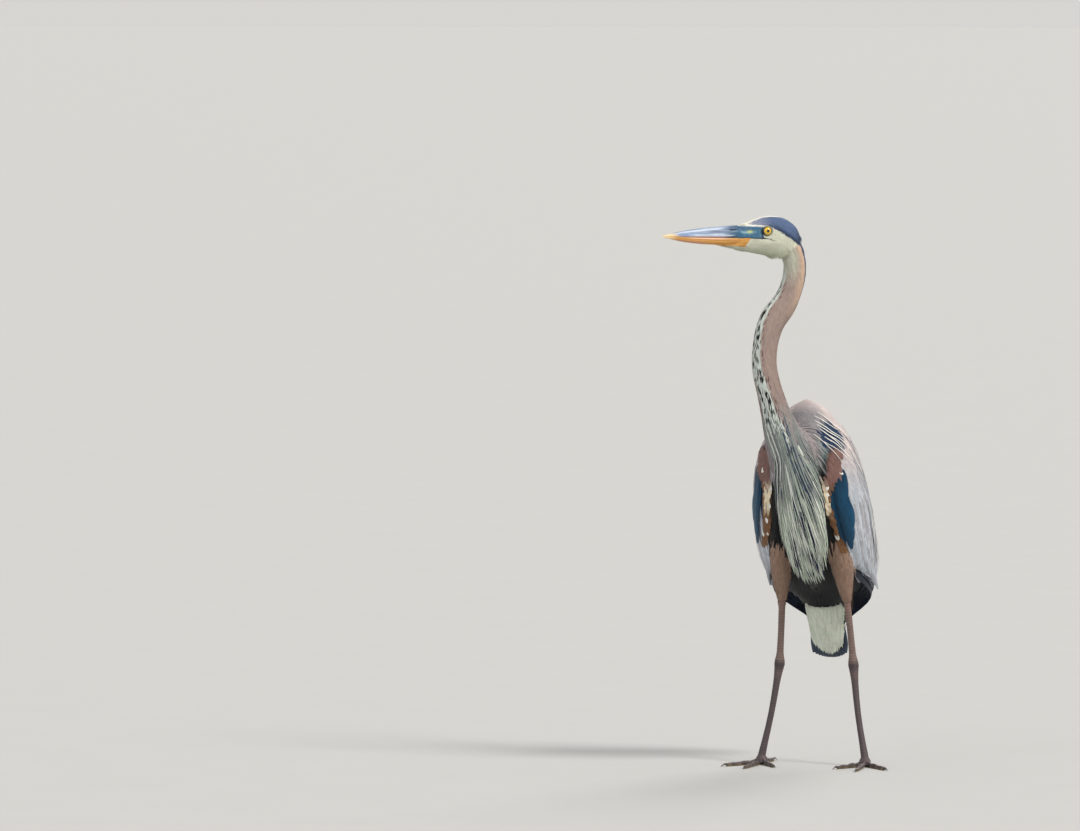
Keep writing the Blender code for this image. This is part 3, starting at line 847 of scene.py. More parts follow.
def wing_colour(points):
    """Silvery grey, with a dark bend, chestnut wrist, cream and tan edge, deep blue behind, and dark end."""
    share, front, past = body_place(points)
    marked = wing_place(points)
    streak = np.clip(0.5 + 0.5 * ripple(points * (1, 1, 0.12), 0.007, 14), 0, 1)
    # inner marks a painted shadow: a black band along the wing's front edge, for the gap beside the breast
    # plumes.
    inner = np.maximum(1 - ramp(past, 1.0, 3.5), 1 - ramp(marked[1], 0.0, 2.0))
    return painted(
        MANTLE,
        (SILVER, ramp(share, 0.14, 0.34)),
        (mix(WHITE * 0.8, DEEP_STEEL, streak), ramp(share, 0.16, 0.34) * 0.24),
        (DEEP_STEEL, ramp(front, 118, 160) * ramp(share, 0.10, 0.26) * 0.75),
        (BACK, ramp(share, 0.52, 0.66) * 0.4),
        (PATCH, shoulder_patch(points)),
        (TAN * 0.7, hump(share, 0.24, 0.27, 0.455, 0.48) * (1 - ramp(marked[1], 14, 16))),
        (RUFOUS, wrist_zone(*marked)),
        (mix(CREAM, TAN, ramp(share, 0.31, 0.36)), edge_zone(*marked)),
        (BLADE_BLUE, blade_zone(*marked)),
        # Painted shadow in the gap between the wing's front edge and the breast plumes.
        (NIGHT, inner * ramp(share, 0.16, 0.2) * (1 - ramp(share, 0.52, 0.58))),
        (QUILL, ramp(share, 0.68, 0.76) * 0.9),
    )


def trunk_colour(points):
    share, front, _ = body_place(points)
    ahead = 1 - ramp(front, 120, 130)
    return painted(
        mix(MANTLE, DEEP_STEEL, ramp(front, 130, 160) * ramp(share, 0.12, 0.3)),
        (mix(LAVENDER, STEEL, ramp(share, 0.10, 0.20)), (1 - ramp(front, 40, 62)) * ramp(share, 0.00, 0.05)),
        (PATCH, shoulder_patch(points)),
        # Black at the breast's sides: partly the black flank feathers, partly painted shadow in the gap by
        # the wing.
        (NIGHT, ahead * ramp(share, 0.15, 0.22) * ramp(front, 20, 27)),
        (NIGHT, ramp(share, 0.45, 0.52) * ahead),
    )


def plume_colour(points):
    """Under the breast's long plumes: pale, with dark clefts, and black at the sides and on the belly."""
    share, front, _ = body_place(points)
    # Painted shade: the skin darkens in the clefts between clumps of plumes.
    cleft = ramp(ripple(points * (1, 1, 0.2), 0.012, 6), 0.15, 0.5)
    return painted(
        # Towards the greenish white of the down, its cast of shade painted in.
        mix(STEEL, DOWN_WITH_SHADE_TINT, ramp(share, 0.26, 0.42)),
        (NAVY, cleft * ramp(share, 0.18, 0.30) * 0.8),
        # Black at the sides: partly the black flank feathers, partly painted shadow in the gap by the wing.
        (NIGHT, ramp(front, 20, 27) * ramp(share, 0.15, 0.25)),
        (NIGHT, ramp(share, 0.41, 0.49)),
    )


def undertail_colour(points):
    front = body_place(points)[1]
    # White mixed with the greenish down, whose cast of shade is painted in.
    return mix(mix(WHITE, DOWN_WITH_SHADE_TINT, 0.5 + 0.5 * ripple(points, 0.03, 8)), NIGHT, ramp(front, 62, 80))


def coat_colour(points, zone):
    """The markings at points of the skin, each in the zone of a CAD node."""
    share = neck.read(points)[0]
    out = painted(
        trunk_colour(points),
        (wing_colour(points), within_zone(zone, "wing")),
        (plume_colour(points), zone == "breast_plumes"),
        (undertail_colour(points), zone == "undertail_coverts"),
        (neck_colour(points), within_zone(zone, "neck") * ramp(share, 0.16, 0.26)),
    )
    out = np.where(within_zone(zone, "thigh")[:, None], THIGH, out)
    return np.where(on_face(zone)[:, None], head_colour(points), out)


# ------------------------------------------------------------------------- skin
FLESH = [
    "trunk", "wing_left", "wing_right", "undertail_coverts", "neck_lower", "neck_middle", "neck_upper",
    "breast_plumes", "head", "chin", "thigh_left", "thigh_right",
]
# The skin runs on through these, hidden in the pieces that stand for them.
SOCKETS = ["eye_left", "eye_right", "bill_upper", "bill_lower"]
flesh = Solids(FLESH + SOCKETS)


def coat_depth(points, zone):
    """How far the feathers' tips stand off the skin."""
    share = neck.read(points)[0]
    depth = 0.0034 - 0.0022 * ramp(points[:, 2], crest[2] - 0.06, crest[2] - 0.01)
    neck_depth = between(0.0030, 0.0016, ramp(share, 0.15, 0.35))
    depth = np.where(within_zone(zone, "neck"), neck_depth, depth)
    depth = np.where(within_zone(zone, "thigh"), 0.0016, depth)
    forward, _, up = head_place(points)
    bare = np.maximum(bare_face(forward, up), on_jaw(forward, up))
    face = between(0.0010, 0.0002, bare)
    face = face + 0.0024 * ramp(forward, bill_root + 0.001, bill_root + 0.012)
    return np.where(on_face(zone), face, depth)


def head_folds(points):
    """Height of the head's folds: the lids, the brow, the hollow lores and the line of the gape."""
    forward, left, up = head_place(points)
    ring = np.hypot(forward, up)
    aside = ramp(np.abs(left), 0.004, 0.009)
    brow = 0.0009 * bell(up, 0.0108, 0.0022) * hump(forward, -0.016, -0.006, 0.012, 0.026)
    lore = 0.0009 * bell(up, 0.001, 0.0035) * hump(forward, 0.012, 0.020, 0.042, 0.050)
    line = 0.0008 * bell(up, keyed(GAPE, forward), 0.0009) * ramp(forward, -0.016, -0.002)
    below = 0.0007 * bell(ring, 0.0132, 0.0013) * (up < 0.004) * (ring > 0.009)
    cheek = 0.0008 * bell(up, -0.0215, 0.006) * hump(forward, -0.040, -0.020, 0.006, 0.020)
    return aside * (brow + cheek - lore - line - below)


def open_lids(points):
    """Draws the skin to the eyeball's rim, and in behind the ball where the eye is open."""
    forward, left, up = head_place(points)
    ring = np.hypot(forward, up)
    reach = abs((eyes["left"] - eye_middle) @ head_left)
    ball = reach + np.sqrt(np.maximum(EYE_RADIUS**2 - ring**2, 0))
    target = np.where(ring < 0.0072, reach * 0.8, ball + 0.0004)
    aside = np.abs(left)
    drawn = between(aside, np.minimum(target, aside), 1 - ramp(ring, 0.0086, 0.0112))
    return head_point(forward, np.sign(left) * np.where(aside > 0.006, drawn, aside), up)


def refine(mesh, chosen, rounds):
    """Cuts the faces whose corners are all chosen into four, a few times."""
    for _ in range(rounds):
        picked = chosen(get_points(mesh))
        with edited(mesh) as bm:
            edges = [e for e in bm.edges if picked[e.verts[0].index] and picked[e.verts[1].index]]
            bmesh.ops.subdivide_edges(bm, edges=edges, cuts=1, use_grid_fill=True)


def near_face(points):
    forward, left, up = head_place(points)
    return (forward > -0.022) & (forward < 0.054) & (up < 0.016) & (up > -0.026) & (np.abs(left) > 0.004)


def near_eye(points):
    forward, left, up = head_place(points)
    return (np.hypot(forward, up) < 0.0145) & (np.abs(left) > 0.009)


def make_skin():
    """One skin over all the flesh, smoothed, and drawn in by the coat's depth."""
    skin = joined("skin", FLESH + SOCKETS, 0.0026, 6)
    refine(skin.data, near_face, 1)
    refine(skin.data, near_eye, 1)
    points, normals = get_points(skin.data), get_normals(skin.data)
    zone = flesh.nearest(points)
    depth = coat_depth(points, zone) - head_folds(points) * on_face(zone)
    points = points - normals * depth[:, None]
    points = np.where(near_eye(points)[:, None], open_lids(points), points)
    set_points(skin.data, points)
    skin.data.shade_smooth()
    tint = coat_colour(points, zone)
    # Painted shade: the skin under the feathers is darkened, as the gaps between the vanes lie in shade.
    shade = np.where(on_face(zone), 1.0, 0.86)
    set_tint(skin.data, tint * shade[:, None])
    forward, _, up = head_place(points)
    bare = bare_face(forward, up) * on_face(zone)
    set_values(skin.data, "bare", "FLOAT", "value", bare)
    unwrap(skin)
    return skin


# ------------------------------------------------------------------------- coat
def anchors():
    """Places in and on the bird, with the way that feathers point there."""
    found = [(neck.points[i], -neck.headings[i]) for i in range(18, len(neck.points) - 8, 6)]
    found += [(body.points[i], body.headings[i]) for i in range(14, len(body.points), 5)]
    for along in np.linspace(-0.045, 0.05, 5):
        drop = 0.9 * ramp(-along, 0.01, 0.045)
        found.append((head_point(along, 0.0, -0.008), unit(-head_way - UP * drop)))
    found.append((head_point(-0.034, 0.0, -0.046), unit(-0.35 * head_way - UP)))
    on_skin = []  # out from the neck's foot, over the hump and down its sides
    for y in np.linspace(-0.045, 0.105, 12):
        for x in np.linspace(-0.064, 0.064, 9):
            off = np.array([x + 0.036, y + 0.078])
            down = 0.25 + 8 * abs(x) + 12 * max(y, 0) + 36 * max(-y - 0.005, 0)
            way = np.append(off / np.hypot(*off), -down)
            on_skin.append((crest + (x, y, 0.01 - 4 * x * x - 1.6 * max(y, 0)), way))
    at, ways = (np.array(values, float) for values in zip(*on_skin))
    clear = neck.read(at)[2] > 0.040
    belly = [crest + (x, y, -0.375) for x in (-0.035, 0.0, 0.035) for y in (0.03, 0.06, 0.09, 0.12)]
    at = np.concatenate([at[clear], belly])
    ways = np.concatenate([ways[clear], np.broadcast_to((0, 1.0, -0.45), (len(belly), 3))])
    at, normals = surface.nearest(at)
    found += list(zip(at, flat_on(ways, normals)))
    return [np.array(values) for values in zip(*found)]


def lie(points):
    """The way feathers point: back over the head, down the neck, and down and back along the body."""
    gaps = ((points[:, None] - ANCHORS[None]) ** 2).sum(-1)
    weights = 1 / (gaps + 0.0004) ** 2.2
    return unit(weights @ ANCHOR_WAYS)


def flat_on(ways, normals):
    return unit(ways - normals * dot(ways, normals)[:, None])


def swung(ways, normals, degrees):
    """The ways, turned about the normals."""
    turn = np.radians(degrees)[:, None]
    return ways * np.cos(turn) + np.cross(normals, ways) * np.sin(turn)


def smooth_line(path, count):
    """Each row of points as count points on a smooth curve, with the knots' numbers there."""
    marches = path.shape[1] - 1
    span = np.linspace(0, marches, count)
    k = np.minimum(span.astype(int), marches - 1)
    f = (span - k)[None, :, None]
    ends = np.concatenate([2 * path[:, :1] - path[:, 1:2], path, 2 * path[:, -1:] - path[:, -2:-1]], 1)
    a, b, c, d = (ends[:, k + i] for i in range(4))
    return (2 * b + (c - a) * f + (2 * a - 5 * b + 4 * c - d) * f**2 + (3 * b - a - 3 * c + d) * f**3) / 2


PLAIN = (-1.0, 0.0, 1.0)  # places across a small vane
BROAD = (-1.0, -0.55, -0.1, 0.1, 0.55, 1.0)  # and across a large one, with its shaft
# Where the coat's lie meets a face's normal by more than these, no feather grows, or one hangs free.
EDGE_OF_GROWTH, OVERHANG = 0.30, 0.42


class Coat:
    """A piece of plumage: vanes gathered as arrays, and made into one mesh at the end."""

    def __init__(self, name, seed):
        self.name, self.draws, self.count = name, np.random.default_rng(seed), 0
        self.points, self.ups, self.outs, self.tints, self.vanes, self.uvs = [], [], [], [], [], []
        self.blocks, self.signs = [], []

    def lay(self, line, up, width, base, uv, shape=(0.45, 0.6), across=PLAIN, camber=0.12, thick=0.00025,
            edge=1.08, shaft=0.92, tip=1.05, root=0.7, ragged=0.1, ridge=0.0, patch=(0.0015, 0.003),
            round_off=0.2):
        """Vanes along lines of (vane, station), each one colour that edge, shaft, tip and root scale.

        shape is how slowly a vane widens from its root and narrows to its tip, across the places across it,
        camber how far its middle stands up, thick its thickness, ridge the height of its shaft, ragged how
        uneven its edges are, and patch its size in the baked map. A vane is shaded as a part of the coat that
        it lies in, rounded off across by round_off.
        """
        many, stations = line.shape[:2]
        t = np.linspace(0, 1, stations)
        forward = unit(np.gradient(line, axis=1))
        side = unit(np.cross(forward, up))
        soft_up = unit(up)
        up = np.cross(side, forward)
        soft_up = unit(soft_up + up)
        fine = np.clip(t, 0.03, 0.975)
        profile = fine ** shape[0] * (1 - fine) ** shape[1]
        profile /= profile.max()
        rough = 1 + ragged * self.draws.normal(size=(many, stations))
        half = np.broadcast_to(np.asarray(width, float).reshape(-1, 1), (many, 1)) / 2 * profile * rough
        over = np.array(across)
        u = np.concatenate([over, over[1:-1][::-1]])
        lower = np.concatenate([np.zeros(len(over)), np.ones(len(over) - 2)])
        bow = camber * (1 - u**2)
        on_shaft = np.abs(u) < 0.2
        taper = (1 - 0.6 * t)[None, :, None] * (1 - u**2)[None, None]
        rise = thick * taper * (0.5 - lower)
        rise = rise + ridge * on_shaft * (1 - lower) * (1 - 0.8 * t)[None, :, None]
        rings = line[:, :, None] + side[:, :, None] * (half[..., None] * u)[..., None] \
            + up[:, :, None] * (half[..., None] * bow + rise)[..., None]
        ring = len(u)
        ups = np.repeat(soft_up[:, :, None], ring, 2)
        outs = side[:, :, None] * (round_off * u)[:, None]
        tone = base[:, None, None] * np.ones((1, stations, ring, 1))
        scale = 1 + (tip - 1) * ramp(t, 0.55, 1.0)
        # Painted shade: each vane darkens towards its root, where it lies under the vanes beyond it.
        scale = scale * (root + (1 - root) * ramp(t, 0.0, 0.5))
        # Where edge is over 1, it paints a highlight along the vane's edges. Under 1, the edges are darker.
        rim = 1 + (edge - 1) * u**2
        spine = np.where(on_shaft[None], 1 + (shaft - 1) * (1 - 0.6 * t)[:, None], 1.0)
        tone = tone * (scale[:, None] * rim[None] * spine)[None, ..., None]
        tone = tone * (1 + 0.045 * self.draws.normal(size=(many, 1, 1, 1))).clip(0.8, 1.2)
        length = np.linalg.norm(np.diff(line, axis=1), axis=2).sum(1)
        local = np.zeros((many, stations, ring, 3))
        local[..., 0] = half[..., None] * u
        local[..., 1] = length[:, None, None] * t[None, :, None]
        local[..., 2] = self.draws.uniform(0, 1, (many, 1, 1))
        where = np.zeros((many, stations, ring, 2))
        where[..., 0] = uv[:, 0, None, None] + patch[0] * u
        where[..., 1] = uv[:, 1, None, None] + patch[1] * (t[None, :, None] - 0.5)
        index = self.count + np.arange(many * stations * ring).reshape(many, stations, ring)
        beside = np.roll(index, -1, axis=2)
        quads = np.stack([index[:, :-1], beside[:, :-1], beside[:, 1:], index[:, 1:]], -1)
        self.blocks += [quads.reshape(-1, 4), index[:, 0, ::-1], index[:, -1]]
        upper = np.where(np.arange(ring) < len(over) - 1, 1.0, -1.0)
        self.signs += [np.broadcast_to(upper[:, None], quads.shape).ravel(), np.ones(2 * many * ring)]
        self.count += many * stations * ring
        for store, values in ((self.points, rings), (self.ups, ups), (self.outs, outs), (self.tints, tone),
                              (self.vanes, local), (self.uvs, where)):
            store.append(values.reshape(-1, values.shape[-1]))

    def strewn(self, roots, spread):
        """The lie of the coat at the roots, each turned by chance by about spread degrees."""
        return swung(lie(roots), surface.nearest(roots)[1], self.draws.normal(0, spread, len(roots)))

    def grow(self, guide, roots, ways, length, width, lift, paint, stations=4, marches=2, wave=0.0,
             rise=0.0, ease=0.0, within=None, hug=None, steady=0.55, **looks):
        """Vanes from roots on the surface, following it along ways.

        length, width and lift (the tip's height over the skin) are one number, or one for each vane. paint
        gives the colours at points of the vanes and at their roots. ease turns a vane towards the lie of the
        coat at each march. A vane is left out where it would rise off the skin, stand square to it, or leave
        the place that within allows. Where hug is given, one is left out too if its tip is further than that
        from the skin, or follows the lie by less than steady.
        """
        many = len(roots)
        length, lift = (np.broadcast_to(np.asarray(v, float), many) for v in (length, lift))
        at, normal = surface.nearest(roots)
        ways = unit(ways)
        free = dot(normal, lie(at)) > OVERHANG  # past the skin's edge, and hanging straight on
        way = np.where(free[:, None], ways, flat_on(ways, normal))
        path, normals = [at], [normal]
        step = (length / marches)[:, None]
        for _ in range(marches):
            ahead = path[-1] + way * step
            at, normal = surface.nearest(ahead)
            gone = np.linalg.norm(at - path[-1], axis=1)
            free |= (gone < 0.55 * step[:, 0]) | (dot(normal, normals[-1]) < 0.1)
            free |= dot(normal, lie(at)) > OVERHANG
            at = np.where(free[:, None], ahead, at)
            normal = np.where(free[:, None], normals[-1], normal)
            if ease:
                way = unit(way + lie(at) * ease)
            way = np.where(free[:, None], unit(way), flat_on(way, normal))
            path.append(at)
            normals.append(normal)
        line = smooth_line(np.stack(path, 1), stations)
        up = unit(smooth_line(np.stack(normals, 1), stations))
        t = np.linspace(0, 1, stations)[None]
        rise = np.broadcast_to(np.asarray(rise, float), many)[:, None]
        line = line + up * (rise + lift[:, None] * (0.12 * t + 0.88 * t**1.3))[..., None]
        if wave:
            phase = self.draws.uniform(0, 6.3, (many, 1))
            sway = wave * length[:, None] * np.sin(t * 5.0 + phase) * t
            forward = unit(line[:, -1] - line[:, 0])[:, None]
            line = line + np.cross(up, forward) * sway[..., None]
        share, degrees, _ = guide.read(roots)
        uv = np.stack([0.5 + degrees / 370, 0.03 + 0.94 * np.clip(share, 0, 1)], 1)
        shown = line[:, round(0.6 * (stations - 1))]
        along = dot(unit(line[:, -1] - line[:, 0]), ways)
        hangs = (line[:, -1, 2] < roots[:, 2] + 0.002) & (along > 0.8)
        kept = (~free | hangs) & (np.abs(dot(ways, normals[0])) < 0.8)
        if within:
            kept &= within(line.reshape(-1, 3)).reshape(many, stations).all(1)
        if hug:
            kept &= np.linalg.norm(surface.nearest(line[:, -1])[0] - line[:, -1], axis=1) < hug
            kept &= dot(unit(line[:, -1] - line[:, -2]), lie(line[:, -1])) > steady
        width = np.broadcast_to(np.asarray(width, float), many)
        self.lay(line[kept], up[kept], width[kept], paint(shown, roots)[kept], uv[kept], **looks)

    def finish(self, material, slot, *nodes):
        piece, corners = make_mesh(self.name, np.concatenate(self.points), self.blocks)
        set_tint(piece.data, np.concatenate(self.tints))
        set_vane(piece.data, np.concatenate(self.vanes))
        layer = piece.data.uv_layers.new(name="OFBake")
        layer.data.foreach_set("uv", np.concatenate(self.uvs)[corners].astype(np.float32).ravel())
        facing = np.concatenate(self.signs)[:, None] * np.concatenate(self.ups)[corners]
        piece.data.normals_split_custom_set(unit(facing + np.concatenate(self.outs)[corners]))
        keep(piece, material, slot, *nodes)


def coat_head():
    """The short feathers of the head, smallest round the eyes and before them."""
    forward, left, up = head_place(surface.middles)
    face = on_face(zones) & (forward < bill_root - 0.0004) | (zones == "chin")
    bare = (bare_face(forward, up) > 0.5) | on_jaw(forward, up)
    bare |= (np.hypot(forward, up) < 0.0089) & (np.abs(left) > 0.010)
    roots = surface.scatter(0.00140, face & ~bare, 21)
    forward, left, up = head_place(roots)
    size = keyed(((-0.07, 1.10), (-0.03, 1.15), (0.0, 0.85), (0.03, 0.70), (0.05, 0.60)), forward)
    size *= 1 - 0.4 * bell(np.hypot(forward, up), 0.009, 0.005)
    size *= 1 - 0.4 * bell(np.hypot(forward + 0.038, up + 0.046), 0, 0.013)
    coat = Coat("coat_head", 22)
    spine = Line(head_point(np.array([0.11, 0.05, 0.0, -0.07]), 0.0, -0.008), lambda share: (0, 0, 1))
    ways = coat.strewn(roots, 8)
    chin = 1 + 1.6 * ramp(forward, 0.036, 0.050)
    coat.grow(spine, roots, ways, 0.0068 * size * chin, 0.0016 * size, 0.0007 * size * chin**1.5,
              lambda shown, roots: head_colour(roots), hug=0.006, shape=(0.4, 0.7), edge=1.04, shaft=0.95,
              root=0.88)
    coat.finish(SOFT, "white_feather")


def nape_plumes():
    """The thin black plumes that hang from the back of the crown."""
    coat = Coat("nape_plumes", 25)
    count = 14
    left = coat.draws.uniform(-0.008, 0.008, count)
    forward = coat.draws.uniform(-0.064, -0.056, count)
    roots = surface.nearest(head_point(forward, left, -0.004 - abs(left)))[0]
    coat.grow(neck, roots, lie(roots), coat.draws.uniform(0.034, 0.052, count), 0.0024, 0.0006,
              lambda shown, roots: np.broadcast_to(NAVY, roots.shape), stations=14, marches=9, ease=0.8,
              wave=0.010, shape=(0.3, 0.8), hug=0.006, steady=0.3)
    coat.finish(SLEEK, "slate_feather")


def neck_paint(shown, roots):
    """The neck's markings, with the rows of black dashes and rusty flecks down the throat."""
    share, degrees = neck_place(shown)
    front = np.abs(degrees)
    out = neck_colour(shown)
    size = keyed(((0.2, 1.3), (0.5, 1.2), (0.8, 0.6)), share)
    phase = share * neck.length / 0.017 + (degrees > 0) * 0.45 + 0.3 * ripple(shown, 0.03, 12)
    dash = (np.abs(phase - np.round(phase)) < 0.24 * size) & (np.abs(front - 14) < 6.0 * size)
    dash &= (share > 0.27) & (share < 0.80)
    out = np.where(dash[:, None], NIGHT * 1.4, out)
    fleck = (ripple(shown, 0.006, 13) > 0.45) & (front > 27) & (front < 40) & (share > 0.2) & (share < 0.78)
    fleck |= (ripple(shown, 0.005, 17) > 0.7) & (front < 8) & (share > 0.3) & (share < 0.78)
    return np.where(fleck[:, None], RUFOUS * 0.8, out)


def coat_neck():
    """Short velvety feathers."""
    share = neck.read(surface.middles)[0]
    on_neck = within_zone(zones, "neck") & (share > 0.13)
    for name, chosen, spacing, seed in (
        ("coat_neck_low", on_neck & (share < 0.44), 0.0023, 31),
        ("coat_neck_high", on_neck & (share >= 0.44), 0.0020, 32),
    ):
        roots = surface.scatter(spacing, chosen, seed)
        here = neck.read(roots)[0]
        size = keyed(((0.1, 2.0), (0.3, 1.35), (0.5, 1.0), (0.8, 0.9), (1, 0.8)), here)
        coat = Coat(name, seed + 5)
        ways = coat.strewn(roots, 5)
        coat.grow(neck, roots, ways, 0.0135 * size, 0.0021 * size**0.5, 0.0010 * size, neck_paint,
                  shape=(0.4, 0.7), edge=1.04, shaft=0.96, root=0.88)
        coat.finish(SOFT, "fawn_feather")


def body_paint(shown, roots):
    return coat_colour(shown, flesh.nearest(shown))


def coat_body():
    """Contour feathers over the trunk and the folded wings."""
    share, degrees, _ = body.read(surface.middles)
    neck_share = neck.read(surface.middles)[0]
    marked = wing_place(surface.middles)
    wing = within_zone(zones, "wing")
    trunk = (zones == "trunk") | (within_zone(zones, "neck") & (neck_share <= 0.15))
    scaled = wing & ((wrist_zone(*marked) > 0.5) | (edge_zone(*marked) > 0.5))
    scaled |= wing & (share > 0.50) & (np.abs(degrees) > 64)
    high = (share < 0.13) & (surface.middles[:, 2] > crest[2] - 0.075)
    plain = wing & ~scaled & ~high & (share < 0.66)
    groups = (
        ("coat_mantle", (trunk | wing) & high, 0.0027, 0.020, 0.0034, 0.0005, 40),
        ("coat_trunk", trunk & ~high, 0.0038, 0.026, 0.0044, 0.0016, 41),
        ("coat_wing_left", plain & (degrees > 0), 0.0037, 0.040, 0.0046, 0.0012, 42),
        ("coat_wing_right", plain & (degrees <= 0), 0.0037, 0.040, 0.0046, 0.0012, 43),
    )
    for name, chosen, spacing, length, width, lift, seed in groups:
        roots = surface.scatter(spacing, chosen & ~rim, seed)
        here, front, behind = body_place(roots)
        coat = Coat(name, seed + 5)
        size = keyed(((0, 0.75), (0.2, 0.9), (0.5, 1.15), (0.8, 1.2)), here)
        wrist = hump(here, 0.06, 0.10, 0.25, 0.30) * (1 - ramp(behind, 30, 45)) * ramp(front, 26, 34)
        size = size * (1 - 0.5 * wrist) * coat.draws.uniform(0.8, 1.25, len(roots))
        ways = coat.strewn(roots, 6)
        coat.grow(body, roots, ways, length * size, width, lift * size, body_paint, stations=5,
                  hug=0.008, shape=(0.4, 0.6), edge=1.02, shaft=0.95, tip=1.02, root=0.92, ragged=0.04)
        coat.finish(FEATHER, "grey_feather")


def tertials():
    """Broad soft feathers that hang from the wings' lower half over the tops of the quills."""
    share, degrees, _ = body.read(surface.middles)
    chosen = within_zone(zones, "wing") & (share > 0.32) & (np.abs(degrees) > 56)
    chosen &= share < keyed(((56, 0.66), (90, 0.62), (110, 0.54), (180, 0.50)), np.abs(degrees))
    roots = surface.scatter(0.0062, chosen, 47)
    coat = Coat("tertials", 48)
    many = len(roots)
    tone = coat.draws.uniform(size=many)
    far = ramp(body_place(roots)[1], 118, 160)

    def paint(shown, roots):
        base = mix(mix(SILVER, MANTLE, tone * 0.6), DEEP_STEEL, 0.28 * (tone > 0.6))
        base = mix(base, BACK, ramp(body_place(roots)[0], 0.50, 0.62) * 0.35)
        return mix(base, mix(BACK, DEEP_STEEL, tone * 0.6), far * 0.8)

    ways = coat.strewn(roots, 4)
    length = coat.draws.uniform(0.050, 0.080, many)
    coat.grow(body, roots, ways, length, 0.0090, 0.0012, paint, stations=9, marches=4, ease=0.3,
              hug=0.020, steady=0.85, rise=0.0008, shape=(0.35, 0.5), across=BROAD, edge=1.06, shaft=0.84,
              tip=1.04, root=0.88, ragged=0.02, round_off=0.4)
    coat.finish(FEATHER, "grey_feather")


def small_coverts():
    """The little rounded feathers of the wrist and the wing's front edge."""
    marked = wing_place(surface.middles)
    chosen = within_zone(zones, "wing") & ((wrist_zone(*marked) > 0.4) | (edge_zone(*marked) > 0.4))
    roots = surface.scatter(0.0038, chosen, 45)
    coat = Coat("small_coverts", 46)
    chance = coat.draws.uniform(size=len(roots))

    def paint(shown, roots):
        share, past = wing_place(roots)
        inner = mix(CREAM, TAN, ramp(share, 0.305, 0.345))
        base = mix(RUFOUS, mix(inner, TAN, ramp(past, 8, 11)), ramp(share, 0.228, 0.262))
        spot = (chance < between(0.07, 0.03, ramp(share, 0.28, 0.34))) & (share > 0.20)
        return np.where(spot[:, None], WHITE * 0.9, base)

    ways = coat.strewn(roots, 7)
    coat.grow(body, roots, ways, 0.0150, 0.0070, 0.0009, paint, stations=6, shape=(0.5, 0.40),
              rise=0.0016, edge=1.06, ragged=0.04)
    coat.finish(FEATHER, "rufous_feather")


def coat_thighs():
    """The soft rufous feathers of the thighs, darker behind."""
    for word, _ in SIDES:
        line = thighs[word]
        roots = surface.scatter(0.0023, zones == "thigh_" + word, 51)
        coat = Coat("coat_thigh_" + word, 52)
        normal = surface.nearest(roots)[1]
        down_leg = np.broadcast_to(line.headings[0], roots.shape)
        ways = swung(down_leg, normal, coat.draws.normal(0, 7, len(roots)))

        def paint(shown, roots):
            degrees = line.read(shown)[1]
            tone = mix(THIGH, THIGH * (0.62, 0.60, 0.60), ramp(np.abs(degrees), 60, 150))
            return mix(tone, tone * (0.8, 0.72, 0.66), np.clip(ripple(shown, 0.02, 15), 0, 1) * 0.6)

        length = 0.0125 * (1 + 0.5 * ramp(line.read(roots)[0], 0.75, 0.95))
        coat.grow(line, roots, ways, length, 0.0028, 0.0014, paint, shape=(0.4, 0.7), edge=1.04, root=0.8)
        coat.finish(SOFT, "rufous_feather")


def coat_undertail():
    """The white feathers under the tail, and the dark ones at their sides."""
    coat = Coat("coat_undertail", 56)
    roots = surface.scatter(0.0028, (zones == "undertail_coverts") & ~rim, 55)
    side = body_place(roots)[1] > 66
    ways = coat.strewn(roots, 7)
    length = coat.draws.uniform(0.020, 0.030, len(roots)) * np.where(side, 0.6, 1.0)
    coat.grow(body, roots, ways, length, 0.0044, 0.0012,
              lambda shown, roots: undertail_colour(roots), stations=6, hug=0.005, wave=0.03,
              shape=(0.4, 0.6), ragged=0.12, root=0.9)
    solid = Solids(["tail", "undertail_coverts"])
    lay_tail_front(coat, solid)
    for _, sign in SIDES:
        lay_tail_side(coat, solid, sign)
    coat.finish(SOFT, "white_feather")


